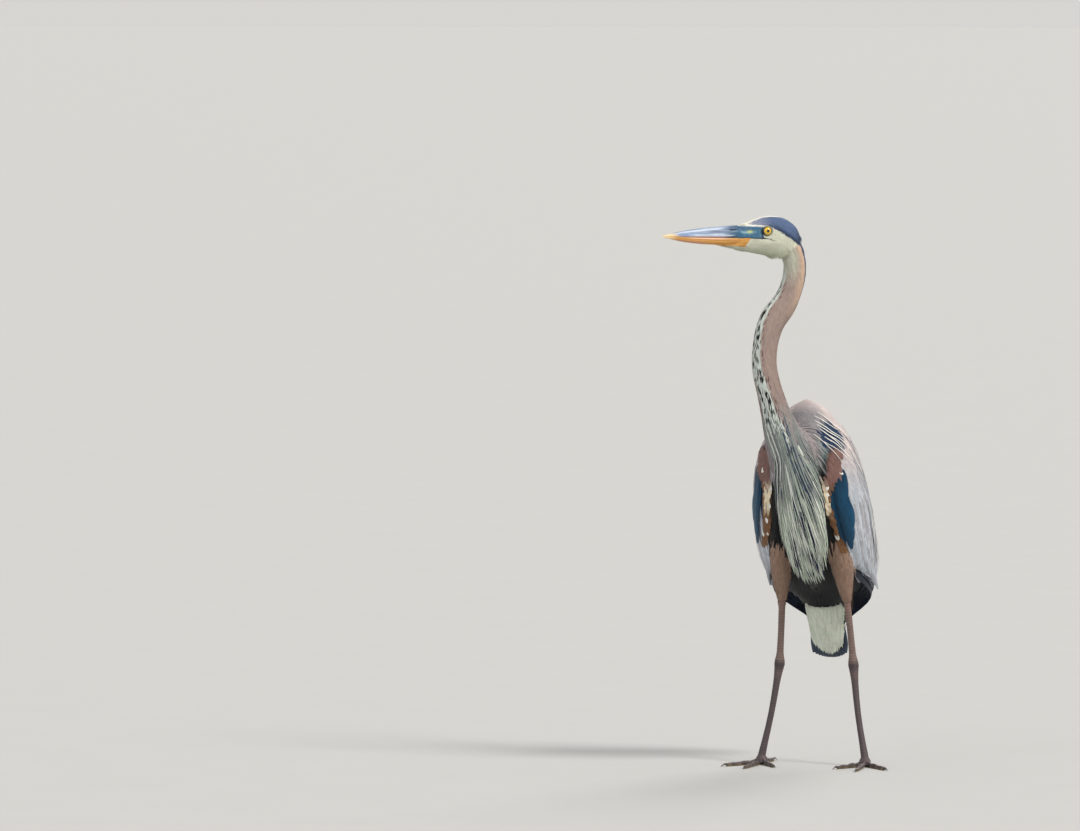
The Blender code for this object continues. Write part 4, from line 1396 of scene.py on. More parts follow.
def lay_tail_front(coat, solid):
    """Long soft white feathers down the front of the tail, each over the root of the next below."""
    low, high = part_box("tail")
    middle_x = (low[0] + high[0]) / 2
    count, stations = 640, 8
    t = np.linspace(0, 1, stations)
    top = coat.draws.uniform(low[2] + 0.030, high[2] - 0.004, count)
    across = coat.draws.uniform(-1, 1, count)
    end = coat.draws.uniform(0.007, 0.017, count) + 0.014 * across**2
    length = coat.draws.uniform(0.028, 0.046, count).clip(0.004, np.maximum(top - low[2] - end, 0.005))
    reach = (high[0] - low[0]) / 2 * between(0.58, 0.86, ramp(top, low[2] + 0.02, low[2] + 0.07))
    spot = np.zeros((count, stations, 3))
    spot[..., 0] = middle_x + (across * reach)[:, None] * (1 - 0.12 * t)
    spot[..., 1] = high[1]
    spot[..., 2] = top[:, None] - length[:, None] * t
    hits = solid.outer(spot, AHEAD)
    met = ~np.isnan(hits).any((1, 2))
    line = hits[met]
    soft = line[..., 1].copy()
    for _ in range(10):
        soft[:, 1:-1] = (soft[:, :-2] + 2 * soft[:, 1:-1] + soft[:, 2:]) / 4
    stand = 0.0006 + 0.0024 * t + 0.0012 * coat.draws.uniform(size=(len(line), 1))
    spot[..., 0] = middle_x
    middle = np.nan_to_num(solid.outer(spot[met], AHEAD)[..., 1], nan=1.0)
    behind = between(0.0015, 0.0300, ramp(line[..., 2], low[2] + 0.035, low[2] + 0.080))
    line[..., 1] = np.minimum(np.minimum(soft, line[..., 1]), middle + behind) - stand
    # White mixed with the greenish down, whose cast of shade is painted in.
    base = mix(WHITE, DOWN_WITH_SHADE_TINT, coat.draws.uniform(0.2, 0.9, len(line))) * 0.9
    uv = np.stack([0.5 + 0.3 * across[met], 0.1 + 0.8 * (top[met] - low[2]) / (high[2] - low[2])], 1)
    width = coat.draws.uniform(0.0036, 0.0058, len(line))
    coat.lay(line, AHEAD, width, base, uv, shape=(0.4, 0.75), thick=0.0003, edge=1.0, shaft=0.96, root=0.95,
             round_off=0.35)


def lay_tail_side(coat, solid, sign):
    """Dark feathers down one side of the tail, behind the white ones."""
    low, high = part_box("tail")
    count, stations = 90, 8
    t = np.linspace(0, 1, stations)
    top = coat.draws.uniform(low[2] + 0.040, high[2] + 0.030, count)
    spot = np.zeros((count, stations, 3))
    spot[..., 0] = (low[0] + high[0]) / 2
    spot[..., 1] = between(low[1], high[1], coat.draws.uniform(0.05, 0.95, count))[:, None]
    spot[..., 2] = top[:, None] - 0.036 * t
    out_way = np.array([sign, 0.0, 0.0])
    hits = solid.outer(spot, out_way)
    met = np.ptp(hits[..., 0], axis=1) < 0.005  # where the side is flat, and every station meets it
    line = hits[met] - out_way * (0.0030 - 0.0020 * t)[:, None]
    base = mix(NIGHT, QUILL, coat.draws.uniform(0.2, 0.8, len(line)))
    uv = np.stack([np.full(len(line), 0.5 + 0.4 * sign), 0.1 + 0.8 * (top[met] - low[2]) / 0.15], 1)
    coat.lay(line, out_way, 0.0072, base, uv, shape=(0.4, 0.6), thick=0.0003, ragged=0.06, round_off=0.4)


def in_bib(points):
    """Whether points are on the breast, between the wings."""
    share, degrees, _ = body.read(points)
    edge = keyed(((0.0, 84), (0.05, 60), (0.10, 44), (0.16, 37), (0.2, 33), (0.35, 28), (0.6, 26)), share)
    return np.abs(degrees) < edge


def breast_strands():
    """Long thin plumes that hang from the lower neck and the breast."""
    share, degrees, _ = body.read(surface.middles)
    neck_share, neck_degrees, _ = neck.read(surface.middles)
    front = np.abs(degrees)
    top = within_zone(zones, "neck") & (neck_share > 0.08) & (neck_share < 0.32)
    top &= np.abs(neck_degrees) < 104
    bib = (zones == "breast_plumes") & (share < 0.53)
    bib &= front < keyed(((0.1, 27), (0.25, 22), (0.5, 17)), share)
    chest = (zones == "trunk") & (share < 0.20)
    chest &= front < keyed(((0.0, 70), (0.05, 52), (0.12, 38), (0.2, 33)), share)
    for name, spacing, seed, low, high, cleft_from in (
        ("breast_plumes_under", 0.0050, 61, 0.0005, 0.003, 0.36),
        ("breast_plumes_over", 0.0062, 62, 0.003, 0.006, 0.62),
    ):
        roots = surface.scatter(spacing, top | bib | chest, seed)
        coat = Coat(name, seed + 5)
        many = len(roots)
        height = roots[:, 2]
        ends = 0.345 - 0.032 * ramp(ripple(roots * (1, 1, 0.08), 0.017, 35), 0.0, 0.7)
        room = height - (crest[2] - ends)
        length = np.clip(coat.draws.uniform(0.22, 0.66, many) * room + 0.02, 0.035, 0.165)
        cleft = ripple(roots * (1, 1, 0.22), 0.016, 31) + 0.28 * coat.draws.normal(size=many)
        # Painted shade: strands that fall in the clefts between clumps are coloured dark.
        dark = cleft > cleft_from
        tone, bright = coat.draws.uniform(size=(2, many))

        def paint(shown, roots):
            drop = crest[2] - shown[:, 2]
            level = ramp(drop, 0.06, 0.22)
            shade = between(1.0, 0.86, ramp(drop, 0.03, 0.09))
            base = mix(LAVENDER, STEEL, 0.2 + 0.6 * tone) * shade[:, None]
            # Lower down the plumes turn to the greenish white of the down, its cast of shade painted in.
            base = mix(base, DOWN_WITH_SHADE_TINT, (0.25 + 0.65 * tone) * level)
            base = mix(base, mix(PALE, WHITE, 0.5), (bright > between(0.93, 0.70, level)) * 0.9)
            return np.where((dark & (level > 0.15))[:, None], mix(DEEP_STEEL, NAVY, level), base)

        normal = surface.nearest(roots)[1]
        inward = -np.sign(roots[:, 0] - crest[0]) * ramp(np.abs(roots[:, 0] - crest[0]), 0.01, 0.04)
        bend = coat.draws.normal(0, 4, many) + 7 * ripple(roots * (1, 1, 0.5), 0.030, 33)
        ways = swung(unit(lie(roots) + np.outer(inward, (0.12, 0, 0))), normal, bend)
        coat.grow(body, roots, ways, length, coat.draws.uniform(0.0016, 0.0030, many),
                  coat.draws.uniform(low, high, many), paint, stations=12, marches=7, ease=0.5, wave=0.012,
                  within=in_bib, rise=0.0006, shape=(0.3, 0.8), edge=1.06, tip=1.06, root=0.88)
        coat.finish(SOFT, "white_feather")


def shoulder_strands():
    """Long pale plumes from the shoulders, out and back over the wings."""
    share, degrees, _ = body.read(surface.middles)
    front = np.abs(degrees)
    clear = neck.read(surface.middles)[2] > 0.047
    start = (share > 0.035) & (share < 0.140) & (front > 24) & (front < 46)
    start &= clear & (zones != "breast_plumes")
    neck_share, neck_degrees, _ = neck.read(surface.middles)
    cape = within_zone(zones, "neck") & (neck_share > 0.07) & (neck_share < 0.25)
    cape &= np.abs(neck_degrees) > 64
    outer = (share > 0.10 + 0.02 * ripple(surface.middles, 0.03, 41)) & (share < 0.50) & (front > 74) & ~rim
    outer &= within_zone(zones, "wing") | (zones == "trunk")
    scapular = outer & (share > 0.36) & (front > 84)
    coat = Coat("shoulder_plumes", 71)
    for kind, chosen, spacing, low, high, seed, turn, raised in (
        ("white", start, 0.0082, 0.045, 0.080, 72, 30, 0.0010),
        ("grey", outer, 0.0085, 0.05, 0.10, 73, 4, 0.0012),
        ("grey", scapular, 0.0066, 0.05, 0.09, 74, 2, 0.0034),
        ("cape", cape, 0.0044, 0.030, 0.055, 70, 0, 0.0008),
    ):
        white = kind == "white"
        roots = surface.scatter(spacing, chosen, seed)
        many = len(roots)
        tone = coat.draws.uniform(size=many)
        side = np.sign(roots[:, 0] - crest[0])
        far = ramp(body.read(roots)[1] * side, 110, 150)

        def paint(shown, roots):
            base = mix(mix(SILVER, MANTLE, tone), PALE, (tone > 0.80) * 0.6)
            base = mix(base, DEEP_STEEL, (tone < 0.25) * 0.35)
            base = mix(base, WHITE, white * 0.85)
            base = mix(base, mix(LAVENDER, MANTLE, tone * 0.7), (kind == "cape") * 1.0)
            deep = mix(MANTLE, mix(BACK, DEEP_STEEL, tone * 0.4), ramp(body.read(shown)[0], 0.14, 0.28))
            return mix(base, deep, far * 0.85)

        normal = surface.nearest(roots)[1]
        outward = side * turn * (1 - far)
        ways = swung(lie(roots), normal, outward + coat.draws.normal(0, 5, many))
        if white:  # out across the dark patch
            slope = coat.draws.uniform(0.35, 0.90, many)
            ways = flat_on(np.stack([side, np.full(many, 0.2), -slope], -1), normal)
        length = coat.draws.uniform(low, high, many)
        width = coat.draws.uniform(0.0018, 0.0030, many) * (0.62 if white else 1 + 0.6 * far)
        lift = coat.draws.uniform(0.0004, 0.0014, many) + (0.0034 if white else 0)
        coat.grow(body, roots, ways, length, width, lift, paint, stations=11, marches=6,
                  ease=0.05 if white else 0.25, wave=0.012, rise=raised, hug=0.012,
                  shape=(0.3, 0.8), edge=1.06, shaft=0.90, tip=1.06, root=0.9)
    coat.finish(SOFT, "grey_feather")


# Rows of deep blue feathers: degrees behind the wing's front edge, the first and last share, and how many.
BLADE_ROWS = ((20, 0.205, 0.31, 6), (15.5, 0.21, 0.36, 7), (11.5, 0.23, 0.39, 8))


def blades():
    """The deep blue feathers of the wing's front, laid like tiles."""
    coat = Coat("wing_blades", 75)
    for _, sign in SIDES:
        shift = 0 if sign > 0 else 15
        for row, (past, first, last, count) in enumerate(BLADE_ROWS):
            share = np.linspace(first, last, count)
            degrees = (keyed(WING_LEAD, share) + past + shift + 42 * (share - first)) * sign
            roots = surface.nearest(body.spot(share, degrees, 0.12))[0]
            tone = np.linspace(0.9, 1.3, count) * (1.3 - 0.2 * row)
            ways = body.along(body.headings, share) + (0.10 * sign, 0, 0)
            coat.grow(body, roots, ways, 0.052 - 0.04 * (share - first), 0.0125, 0.0024,
                      lambda shown, roots: BLADE_BLUE * tone[:, None], stations=9, marches=4,
                      rise=0.0014 + 0.0005 * np.arange(count), shape=(0.35, 0.42), across=BROAD,
                      thick=0.0006, ridge=0.0002, edge=0.62, shaft=0.6, tip=0.8, ragged=0.03, round_off=0.5)
    coat.finish(SLEEK, "slate_feather")


def quills():
    """The long flight feathers of each folded wing, layered down its rear edge."""
    for word, sign in SIDES:
        solid = Solids(["flight_feathers_" + word, "wing_" + word])
        coat = Coat("quills_" + word, 76)
        count, stations = 15, 16
        rank = np.linspace(0, 1, count)  # 0 at the wing's front edge
        finish = 0.945 - 0.085 * rank
        share = 0.52 + (finish[:, None] - 0.52) * np.linspace(0, 1, stations)[None]
        lead = keyed(WING_LEAD, share)
        degrees = lead + 3 + (0.03 + 0.95 * rank[:, None]) * (176 - lead - 3)
        line_at = body.along(body.points, share)
        out_way = body.way(share, degrees * sign)
        hits = solid.outer(line_at, out_way)
        reach = np.linalg.norm(hits - line_at, axis=2)
        for row in reach:
            fill_gaps(row)
        sink = 0.0010 + 0.0044 * (1 - rank)[:, None] * np.linspace(1, 0.6, stations)[None]
        at_top = 1 - ramp(np.linspace(0, 1, stations), 0.02, 0.34)
        sink = sink + 0.0085 * at_top[None]  # the tops go under the coat
        line = line_at + out_way * (reach - sink)[..., None]
        line[:, 1:-1] = (line[:, :-2] + 2 * line[:, 1:-1] + line[:, 2:]) / 4
        base = mix(QUILL, BACK * 0.8, rank * 0.8)
        uv = np.stack([0.05 + 0.9 * rank, np.full(count, 0.5)], 1)
        coat.lay(line, out_way, 0.021 - 0.004 * rank, base, uv, shape=(0.25, 0.30), across=BROAD, camber=0.10,
                 thick=0.0009, ridge=0.0003, edge=1.25, shaft=0.55, tip=0.8, ragged=0.025, patch=(0.025, 0.9),
                 round_off=0.7)
        coat.finish(SLEEK, "slate_feather", "flight_feathers_" + word)


def tail_feathers():
    """The twelve tail feathers, fanned through the depth of the tail's solid."""
    low, high = (np.array(v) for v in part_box("tail"))
    solid = Solids(["tail"])
    coat = Coat("tail_feathers", 78)
    count, stations = 12, 14
    place = np.linspace(-1, 1, count)
    t = np.linspace(0, 1, stations)
    length = (high[2] - low[2]) * (1 - 0.07 * place**2)
    heights = high[2] - 0.004 - t[None] * (length[:, None] - 0.006)
    spread = between(0.30, 0.74, ramp(t, 0, 1))[None] * place[:, None]
    across = (low[0] + high[0]) / 2 + spread * (high[0] - low[0]) / 2
    origins = np.stack(np.broadcast_arrays(across, high[1], heights), -1)
    front = solid.outer(origins, AHEAD)
    origins[..., 1] = low[1]
    back = solid.outer(origins, -AHEAD)
    depth = 0.30 + 0.5 * (1 - np.abs(place))[:, None, None]
    line = front + (back - front) * depth
    for row in line:
        for column in row.T:
            fill_gaps(column)
    line[:, :, 2] = heights
    up = unit(np.stack([0.25 * place, np.ones(count), 0.5 * np.ones(count)], -1))[:, None]
    base = mix(BACK * 0.7, DEEP_STEEL, np.abs(place))
    uv = np.stack([0.5 + 0.45 * place, np.full(count, 0.5)], 1)
    coat.lay(line, up, 0.021, base, uv, shape=(0.2, 0.32), across=BROAD, camber=0.08, thick=0.0009,
             ridge=0.0003, edge=1.1, shaft=0.6, tip=0.7, ragged=0.02, patch=(0.025, 0.9), round_off=0.7)
    coat.finish(SLEEK, "slate_feather", "tail")


# ------------------------------------------------------------------ bill and eyes
# Heights of the bill's lines, each at places ahead of the eyes.
UPPER_HEART = ((0.047, -0.001), (0.149, -0.0045), (0.187, -0.0081))
LOWER_HEART = ((0.047, -0.0175), (0.107, -0.0165), (0.149, -0.0135), (0.187, -0.0086))
RIDGE = ((0.047, 0.0108), (0.107, 0.0062), (0.149, 0.0010), (0.187, -0.0079))
CUT = ((0.047, -0.0118), (0.187, -0.0083))
KEEL = ((0.047, -0.0240), (0.107, -0.0226), (0.149, -0.0178), (0.187, -0.0088))
NOSTRIL = ((0.047, 0.0030), (0.075, 0.0022), (0.12, -0.0010))
JAW_LINE = ((0.047, -0.0185), (0.15, -0.013))


def circled(angles, first, second):
    """Unit vectors at angles, from the first way towards the second."""
    return np.cos(angles)[:, None] * first + np.sin(angles)[:, None] * second


def bill_section(node, forwards, angles, rise):
    """Rings of a bill node, cast onto the solid from all round, with the facets smoothed away."""
    solid = Solids([node])
    centre = head_point(forwards, 0.0, keyed(rise, forwards))
    ways = circled(angles, UP, head_left)
    origins = np.broadcast_to(centre[:, None], (len(forwards), len(angles), 3))
    hits = solid.outer(origins, ways, 0.05)
    reach = np.linalg.norm(hits - origins, axis=2)
    for column in reach.T:
        fill_gaps(column)
    for _ in range(3):
        reach = (np.roll(reach, 1, 1) + 2 * reach + np.roll(reach, -1, 1)) / 4
    reach[1:-1] = (reach[:-2] + 2 * reach[1:-1] + reach[2:]) / 4
    return origins + ways[None] * reach[..., None]


def groove(points, line, width, depth, start, rise, fall, end):
    """Points drawn in towards the middle along a line on the bill's sides."""
    forward, left, up = head_place(points)
    drawn = depth * bell(up, keyed(line, forward), width) * hump(forward, start, rise, fall, end)
    side = np.sign(left) * np.minimum(np.abs(left), drawn)
    return points - side[..., None] * head_left


def upper_bill_colour(points):
    """Blue-grey horn with pale and dark streaks, bare skin at its base, and a rosy cutting edge."""
    forward, _, up = head_place(points)
    low = keyed(CUT, forward)
    height = (up - low) / np.maximum(keyed(RIDGE, forward) - low, 0.001)
    wisp = ripple(points * (0.35, 0.35, 2.2), 0.006, 19)
    # pale: a streak low on the upper bill, partly the horn's own colour, partly a painted highlight.
    pale = bell(height + 0.04 * wisp, 0.27, 0.10) * hump(forward, 0.050, 0.06, 0.12, 0.15)
    dark = bell(height + 0.05 * wisp, 0.55, 0.10) * hump(forward, 0.044, 0.052, 0.085, 0.13)
    streaked = painted(
        BILL_BLUE,
        # Painted highlight along the upper bill near its ridge.
        (BILL_PALE_AND_HIGHLIGHT, bell(height, 0.80, 0.12) * ramp(forward, 0.060, 0.085) * 0.7),
        (BILL_PALE_AND_HIGHLIGHT, pale * 0.75),
        (BILL_DARK, dark * 0.8),
        (BILL_DARK, ramp(height, 0.93, 1.0) * 0.6),
    )
    return painted(
        mix(LORE * 0.72, BILL_DARK, bell(height, 0.72, 0.10) * 0.7),
        (streaked, ramp(forward + 0.008 * wisp, 0.0520, 0.084)),
        (ROSE * 1.1, (1 - ramp(height, 0.05, 0.13)) * ramp(forward, 0.05, 0.09)),
        (BILL_TIP, ramp(forward + 0.012 * (1 - height), bill_tip - 0.028, bill_tip - 0.010)),
    )


def lower_bill_colour(points):
    """Ochre horn, rosy underneath further out, with a pink cutting edge and a dark tip."""
    forward, _, up = head_place(points)
    low = keyed(KEEL, forward)
    height = (up - low) / np.maximum(keyed(CUT, forward) - low, 0.001)
    wisp = ripple(points * (0.35, 0.35, 2.2), 0.008, 20)
    return painted(
        OCHRE,
        (ROSE, ramp(forward, 0.095, 0.125) * (1 - ramp(height + 0.1 * wisp, 0.25, 0.6)) * 0.8),
        (CUT_PINK, bell(height, 0.88, 0.12) * hump(forward, 0.06, 0.08, 0.13, 0.15) * 0.7),
        (OCHRE * (0.72, 0.58, 0.5), np.clip(wisp, 0, 1) * 0.35),
        (BILL_TIP, ramp(forward, bill_tip - 0.030, bill_tip - 0.012)),
    )


def make_bill():
    """The horn of both halves of the bill, the lower one drawn back over the jaw."""
    angles = np.linspace(0, 2 * math.pi, 72, endpoint=False)
    material = horn("bill_horn", 0.40, 0.12, (900.0, 60.0, 1.0))
    count = 130
    forwards = bill_root + 0.0006 + (bill_tip - bill_root - 0.0012) * np.linspace(0, 1, count)
    rings = bill_section("bill_upper", forwards, angles, UPPER_HEART)
    rings = groove(rings, NOSTRIL, 0.0011, 0.0014, 0.030, 0.040, 0.080, 0.125)
    rings = groove(rings, NOSTRIL, 0.0006, 0.0026, 0.050, 0.052, 0.064, 0.067)
    heart = rings.mean(1, keepdims=True)
    rings = heart + (rings - heart) * keyed(((0.047, 0.94), (0.062, 1.0)), forwards)[:, None, None]
    rings = np.concatenate([heart[:1] + (rings[:1] - heart[:1]) * 0.85 - head_way * 0.006, rings])
    keep(loft("bill_upper_horn", rings, upper_bill_colour), material, "bill_grey", "bill_upper")
    rings = bill_section("bill_lower", forwards, angles, LOWER_HEART)
    rings = groove(rings, JAW_LINE, 0.0009, 0.0006, 0.060, 0.075, 0.11, 0.15)
    forward, left, up = head_place(rings[0])
    back = []
    for share in np.linspace(1, 0, 12, endpoint=False):  # from the slanted rear edge forward
        reach = forward + (keyed(JAW_BACK, up) - forward) * share
        low = between(up, np.minimum(up, keyed(((-0.024, -0.0262), (-0.020, up.max())), up)), share)
        skin_at = flesh.outer(head_point(reach, 0.0, low), head_left * np.sign(left)[:, None], 0.05)
        aside = np.abs(head_place(skin_at)[1]) + between(-0.0008, 0.0002, ramp(1 - share, 0, 0.25))
        wide = np.where(np.abs(left) > 0.6 * np.abs(left).max(), aside, np.abs(left))
        back.append(head_point(reach, np.sign(left) * between(np.abs(left), wide, ramp(share, 0, 0.6)), low))
    rings = np.concatenate([back, rings])
    keep(loft("bill_lower_horn", rings, lower_bill_colour), material, "bill_ochre", "bill_lower")


EYE_OPEN = 0.0069  # the lids' opening, from the eyeball's middle
# Steps out from the lids' opening and heights over the eyeball, round a section of a lid.
LID_SECTION = (
    (0.0, -0.0006), (0.00005, 0.00025), (0.0004, 0.00055), (0.0009, 0.0005), (0.0014, 0.0001),
    (0.0016, -0.0012), (0.0008, -0.0016))
# Painted shade where the lid tucks against the eyeball, and a painted highlight over the rim's crest.
LID_PAINTED_LIGHT_AND_SHADE = (0.4, 0.6, 1.2, 1.8, 1.8, 1.0, 1.0)  # and its shades


def eyeball_colour(offset):
    """The pupil, the iris and the dark socket, at points off the eyeball's middle."""
    ring = np.hypot(offset @ head_way, offset[:, 2])
    fibre = ripple(unit(offset) * 0.02, 0.0016, 23)
    iris = mix(IRIS * (1.0, 0.80, 0.6), IRIS, ramp(ring, 0.0030, 0.0044)) * (1 + 0.10 * fibre)[:, None]
    iris = mix(iris, IRIS * (0.55, 0.38, 0.3), ramp(ring, 0.0058, 0.0066))
    tone = mix(np.broadcast_to(PUPIL, offset.shape), iris, ramp(ring, 0.0025, 0.0029))
    # Painted shade: beyond the iris the ball is near black, where it sits in the recess under the lids.
    return mix(tone, SOCKET_SHADE, ramp(ring, 0.0066, 0.0071))


def make_eyeball(word, out_way, material):
    """A ball that bulges a little in front, as the wet front of an eye does."""
    turn = np.linspace(0.02, math.pi - 0.02, 56)
    around = np.linspace(0, 2 * math.pi, 56, endpoint=False)
    reach = EYE_RADIUS * (1 + 0.028 * bell(turn, 0, 0.55))
    rings = eyes[word] + (reach * np.cos(turn))[:, None, None] * out_way \
        + (reach * np.sin(turn))[:, None, None] * circled(around, UP, head_way)
    ball = loft("eyeball_" + word, rings, lambda points: eyeball_colour(points - eyes[word]))
    keep(ball, material, "eye", "eye_" + word)


def make_lids(word, sign, out_way, material):
    """A rim round the eye, a little flat above, and drawn out to a corner before and behind."""
    angle = np.linspace(0, 2 * math.pi, 72, endpoint=False)
    open_to = EYE_OPEN + 0.0003 * np.cos(angle * 2 + math.pi) - 0.0004 * bell(angle, math.pi / 2, 0.7)
    front = 0.0013 * bell(angle, 0, 0.22) + 0.0013 * bell(angle, 2 * math.pi, 0.22)
    open_to = open_to + (front + 0.0008 * bell(angle, math.pi, 0.25))
    sections = []
    for step, height in LID_SECTION:
        radius = open_to + step
        ball = np.sqrt(np.maximum(EYE_RADIUS**2 - np.minimum(radius, 0.0089) ** 2, 0)) + height
        sections.append(eyes[word] + radius[:, None] * circled(angle, head_way, UP) + ball[:, None] * out_way)
    ring = np.stack(sections, 1)
    rows, width = ring.shape[:2]
    index = np.arange(rows * width).reshape(rows, width)
    after, beside = np.roll(index, -1, 0), np.roll(index, -1, 1)
    quads = np.stack([index, beside, np.roll(after, -1, 1), after], -1).reshape(-1, 4)
    piece, _ = make_mesh("lids_" + word, ring.reshape(-1, 3), [quads if sign > 0 else quads[:, ::-1]])
    # Painted shade and highlight across each lid's section.
    tone = np.broadcast_to(LID, (rows, width, 3)) * np.array(LID_PAINTED_LIGHT_AND_SHADE)[None, :, None]
    set_tint(piece.data, tone.reshape(-1, 3))
    keep(piece, material, "eye")


def make_eyes():
    wet, lid = eye_gloss(), lid_skin()
    for word, sign in SIDES:
        make_eyeball(word, head_left * sign, wet)
        make_lids(word, sign, head_left * sign, lid)


# --------------------------------------------------------------------- bare legs
TOES = (("inner", -30), ("middle", 4), ("outer", 38), ("hind", 188))  # degrees out from straight ahead


def toe_folds(points, offset, heading, on_foot):
    """Height of one toe's knuckles and of the creases across its top. offset is from the foot's pad."""
    out = offset @ heading
    beside = np.linalg.norm((offset - out[:, None] * heading)[:, :2], axis=1)
    here = (beside < 0.0095) * ramp(out, 0.006, 0.012) * on_foot
    ring = out / 0.0026
    upper = ramp(points[:, 2], 0.0035, 0.0060)
    creases = here * upper * -0.00034 * bell(ring - np.round(ring), 0, 0.13)
    knuckle = np.abs(((out - 0.010) / 0.021) % 1 - 0.5) * 2
    return creases + here * (0.0007 * ramp(knuckle, 0.45, 1.0) - 0.0003)


def make_legs():
    """The bare scaly legs and feet, each one piece, with their claws."""
    scales = scaly()
    claw_horn = horn("claw_horn", 0.3, 0.3, (1500.0, 200.0, 1.0))
    for word, sign in SIDES:
        nodes = [part + word for part in ("shank_", "tarsus_", "foot_")]
        leg = joined("bare_leg_" + word, nodes, 0.00095, 5)
        knee, ankle = end_of("shank_" + word, True), end_of("shank_" + word, False)
        pad = end_of("tarsus_" + word, False)
        line = Line([knee, (knee + ankle) / 2, ankle, (ankle + pad) / 2, pad], breast_way)
        points, normals = get_points(leg.data), get_normals(leg.data)
        share, degrees, _ = line.read(points)
        along = share * line.length
        bend = (ankle[2] - knee[2]) / (pad[2] - knee[2])
        on_foot = ramp(-points[:, 2], -0.022, -0.014)
        # Broad plates down the front, small scales behind, and rings of creases at the ankle.
        front = 1 - ramp(np.abs(degrees), 50, 68)
        plate = along / 0.0052 + 0.12 * np.cos(np.radians(degrees) * 2)
        small = np.abs(np.sin(along * math.pi / 0.0024)) * np.abs(np.sin(np.radians(degrees) * 7))
        height = front * (-0.00042 * bell(plate - np.round(plate), 0, 0.10))
        height = height + (1 - front) * 0.00026 * (small - 0.5)
        joint = bell(share, bend, 0.035)
        height += joint * 0.0003 * np.sin(along * 2 * math.pi / 0.0026)
        height *= 1 - on_foot
        toes = np.zeros(len(points))
        claws = {}
        for toe, degrees_out in TOES:
            turn = math.radians(degrees_out * sign)
            heading = np.array([math.sin(turn), -math.cos(turn), 0])
            toes += toe_folds(points, points - pad, heading, on_foot)
            claws[toe] = heading
        height += toes
        points = points + normals * height[:, None]
        points[:, 2] += 0.009 * ramp(points[:, 2], knee[2] - 0.004, knee[2] - 0.0005)  # up into the thigh
        points[:, 2] = np.maximum(points[:, 2], 0.0)
        set_points(leg.data, points)
        leg.data.shade_smooth()
        tone = mix(LEG, LEG_DARK, np.clip(joint + ramp(share, bend - 0.03, bend + 0.12), 0, 1) * 0.75)
        tone = mix(tone, LEG * (1.5, 1.25, 1.15), (1 - ramp(share, 0.0, 0.14)) * 0.5)
        tone = mix(tone, SOLE, (1 - ramp(points[:, 2], 0.0012, 0.0042)) * 0.8)
        # Painted shade: darker where the skin is pressed in, in proportion to the depth.
        painted_crease_shade = np.clip(-height / 0.0003, 0, 1)
        set_tint(leg.data, mix(tone, tone * 0.45, painted_crease_shade * 0.8))
        keep(leg, scales, "leg_skin", *nodes)
        for toe, heading in claws.items():
            make_claw("claw_{}_{}".format(toe, word), heading, claw_horn)


def make_claw(node, heading, material):
    """A curved claw, flat beneath and keeled above, in its node's place."""
    points = mesh_points(node)
    along = points @ heading
    base = points[along < along.min() + 0.0015].mean(0)
    tip = points[along.argmax()]
    radius = np.ptp(points[along < along.min() + 0.0015][:, 2]) / 2
    rows, count = 18, 16
    t = np.linspace(0, 1, rows)
    arch = 0.16 * np.linalg.norm(tip - base)
    line = base + (tip - base) * t[:, None] + UP * (arch * np.sin(math.pi * t))[:, None]
    line = line - heading * 0.002 * (1 - t)[:, None]
    angle = np.linspace(0, 2 * math.pi, count, endpoint=False)
    side = np.cross(heading, UP)
    size = radius * (1 - t) ** 0.62 + 0.0002
    wide = np.sin(angle) * (0.80 - 0.12 * np.cos(angle))
    tall = np.cos(angle) * np.where(np.cos(angle) < 0, 0.72, 1.0 + 0.12 * bell(angle % (2 * math.pi), 0, 0.3))
    rings = line[:, None] + size[:, None, None] * (wide[:, None] * side + tall[:, None] * UP)
    rings[..., 2] = np.maximum(rings[..., 2], 0.0001)

    def paint(points):
        share = np.clip((points - base) @ heading / max((tip - base) @ heading, 1e-4), 0, 1)
        return mix(mix(CLAW * 2.2, CLAW, ramp(share, 0.0, 0.3)), CLAW * 1.7, ramp(share, 0.75, 1.0))

    keep(loft(node.replace("claw", "talon"), rings, paint), material, "claw", node)


# ------------------------------------------------------------------------ stage
PHOTO_WIDTH = 1.878  # metres across the frame at the bird
DISTANCE = 14.0
AZIMUTH, ELEVATION = 15, 3  # degrees


def towards(azimuth, elevation):
    """The way to a place at these angles from the bird, in degrees. Azimuth 0 is straight ahead of it."""
    a, e = math.radians(azimuth), math.radians(elevation)
    return np.array([math.sin(a) * math.cos(e), -math.cos(a) * math.cos(e), math.sin(e)])


def set_camera():
    """The photo's view, with the bird at the photo's place in the frame."""
    back = towards(AZIMUTH, ELEVATION)
    right = np.array([math.cos(math.radians(AZIMUTH)), math.sin(math.radians(AZIMUTH)), 0])
    up = np.cross(back, right)
    foot = np.array([crest[0], crest[1] + 0.068, 0])
    aim = foot - right * 0.2556 * PHOTO_WIDTH + up * 0.3227 * PHOTO_WIDTH
    camera = bpy.data.objects.new("camera", bpy.data.cameras.new("camera"))
    bpy.context.scene.collection.objects.link(camera)
    camera.data.sensor_width = 36
    camera.data.lens = 36 * DISTANCE / PHOTO_WIDTH
    camera.data.clip_end = 400
    camera.location = aim + back * DISTANCE
    camera.rotation_euler = Vector(-back).to_track_quat("-Z", "Y").to_euler()
    bpy.context.scene.camera = camera
    bpy.context.scene.view_settings.view_transform = "Standard"


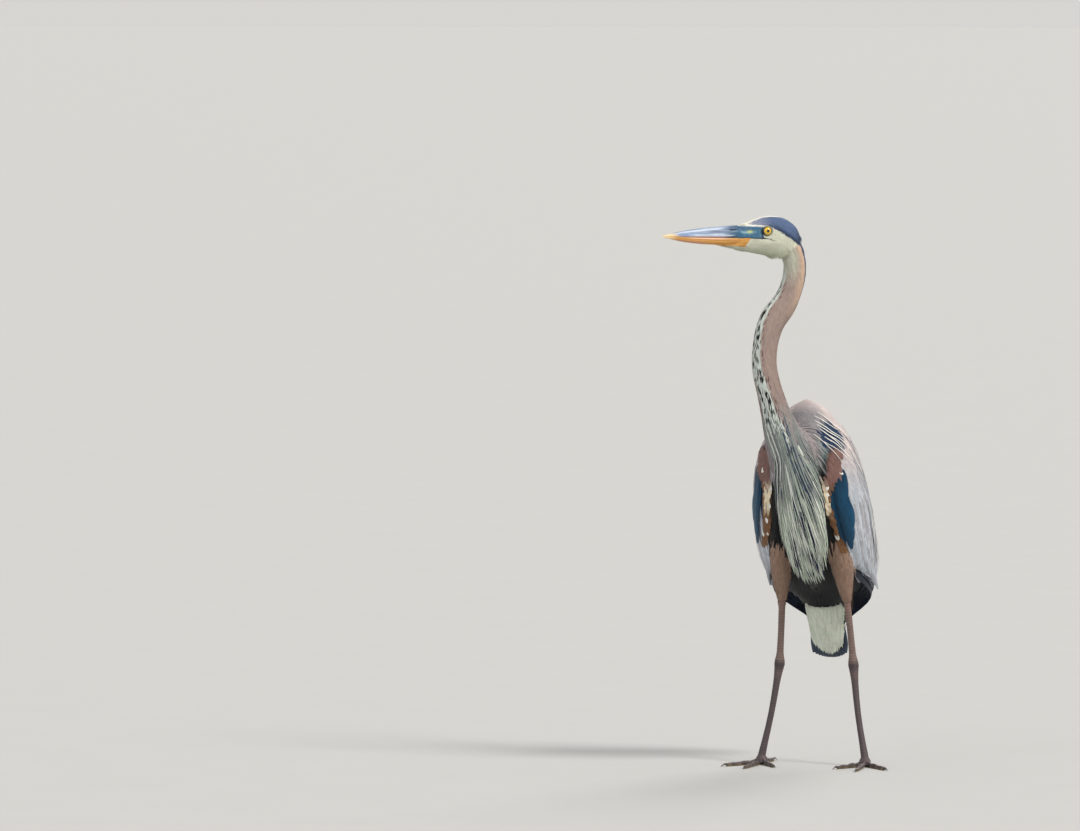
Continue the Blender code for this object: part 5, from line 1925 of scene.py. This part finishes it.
def set_studio():
    """A pale floor that runs out of sight, an even pale sky, and three soft lamps."""
    bpy.ops.mesh.primitive_plane_add(size=600, location=(0, 0, 0))
    floor = bpy.context.object
    floor.name = "floor"
    made = Shader("pale_floor")
    tone = made.tree.nodes.new("ShaderNodeRGB")
    tone.outputs[0].default_value = (0.410, 0.416, 0.419, 1)
    fine = made.noise(made.place(), 6.0, 3.0)
    floor.data.materials.append(
        made.set(Base_Color=made.toned(tone.outputs[0], fine, 0.98, 1.02), Roughness=0.9))
    world = bpy.data.worlds.new("studio")
    bpy.context.scene.world = world
    world.use_nodes = True
    background = world.node_tree.nodes["Background"]
    background.inputs["Color"].default_value = (1.0, 0.98, 0.95, 1)
    background.inputs["Strength"].default_value = 0.68
    for name, azimuth, elevation, strength, spread, tone in (
        ("key", 68, 44, 2.6, 16, (1.0, 0.95, 0.87)),
        ("fill", -30, 30, 0.5, 50, (0.92, 0.96, 1.0)),
        ("rim", 170, 40, 1.1, 25, (1.0, 0.96, 0.9)),
    ):
        lamp = bpy.data.lights.new(name, "SUN")
        lamp.energy, lamp.angle, lamp.color = strength, math.radians(spread), tone
        light = bpy.data.objects.new(name, lamp)
        light.rotation_euler = Vector(towards(azimuth, elevation)).to_track_quat("Z", "Y").to_euler()
        bpy.context.scene.collection.objects.link(light)


set_camera()
set_studio()
FEATHER = plumage("feather", 0.60, 0.12, 0.0011)
SOFT = plumage("soft_feather", 0.72, 0.11, 0.0006)
SLEEK = plumage("sleek_feather", 0.42, 0.06, 0.0014)
skin = keep(make_skin(), down(), "grey_feather", *FLESH)
surface = Surface(skin)
ANCHORS, ANCHOR_WAYS = anchors()
zones = flesh.nearest(surface.middles)
rim = dot(lie(surface.middles), surface.faces) > EDGE_OF_GROWTH  # faces that look along the coat's lie
coat_head()
nape_plumes()
coat_neck()
coat_body()
tertials()
small_coverts()
coat_thighs()
coat_undertail()
breast_strands()
shoulder_strands()
blades()
quills()
tail_feathers()
make_bill()
make_eyes()
make_legs()
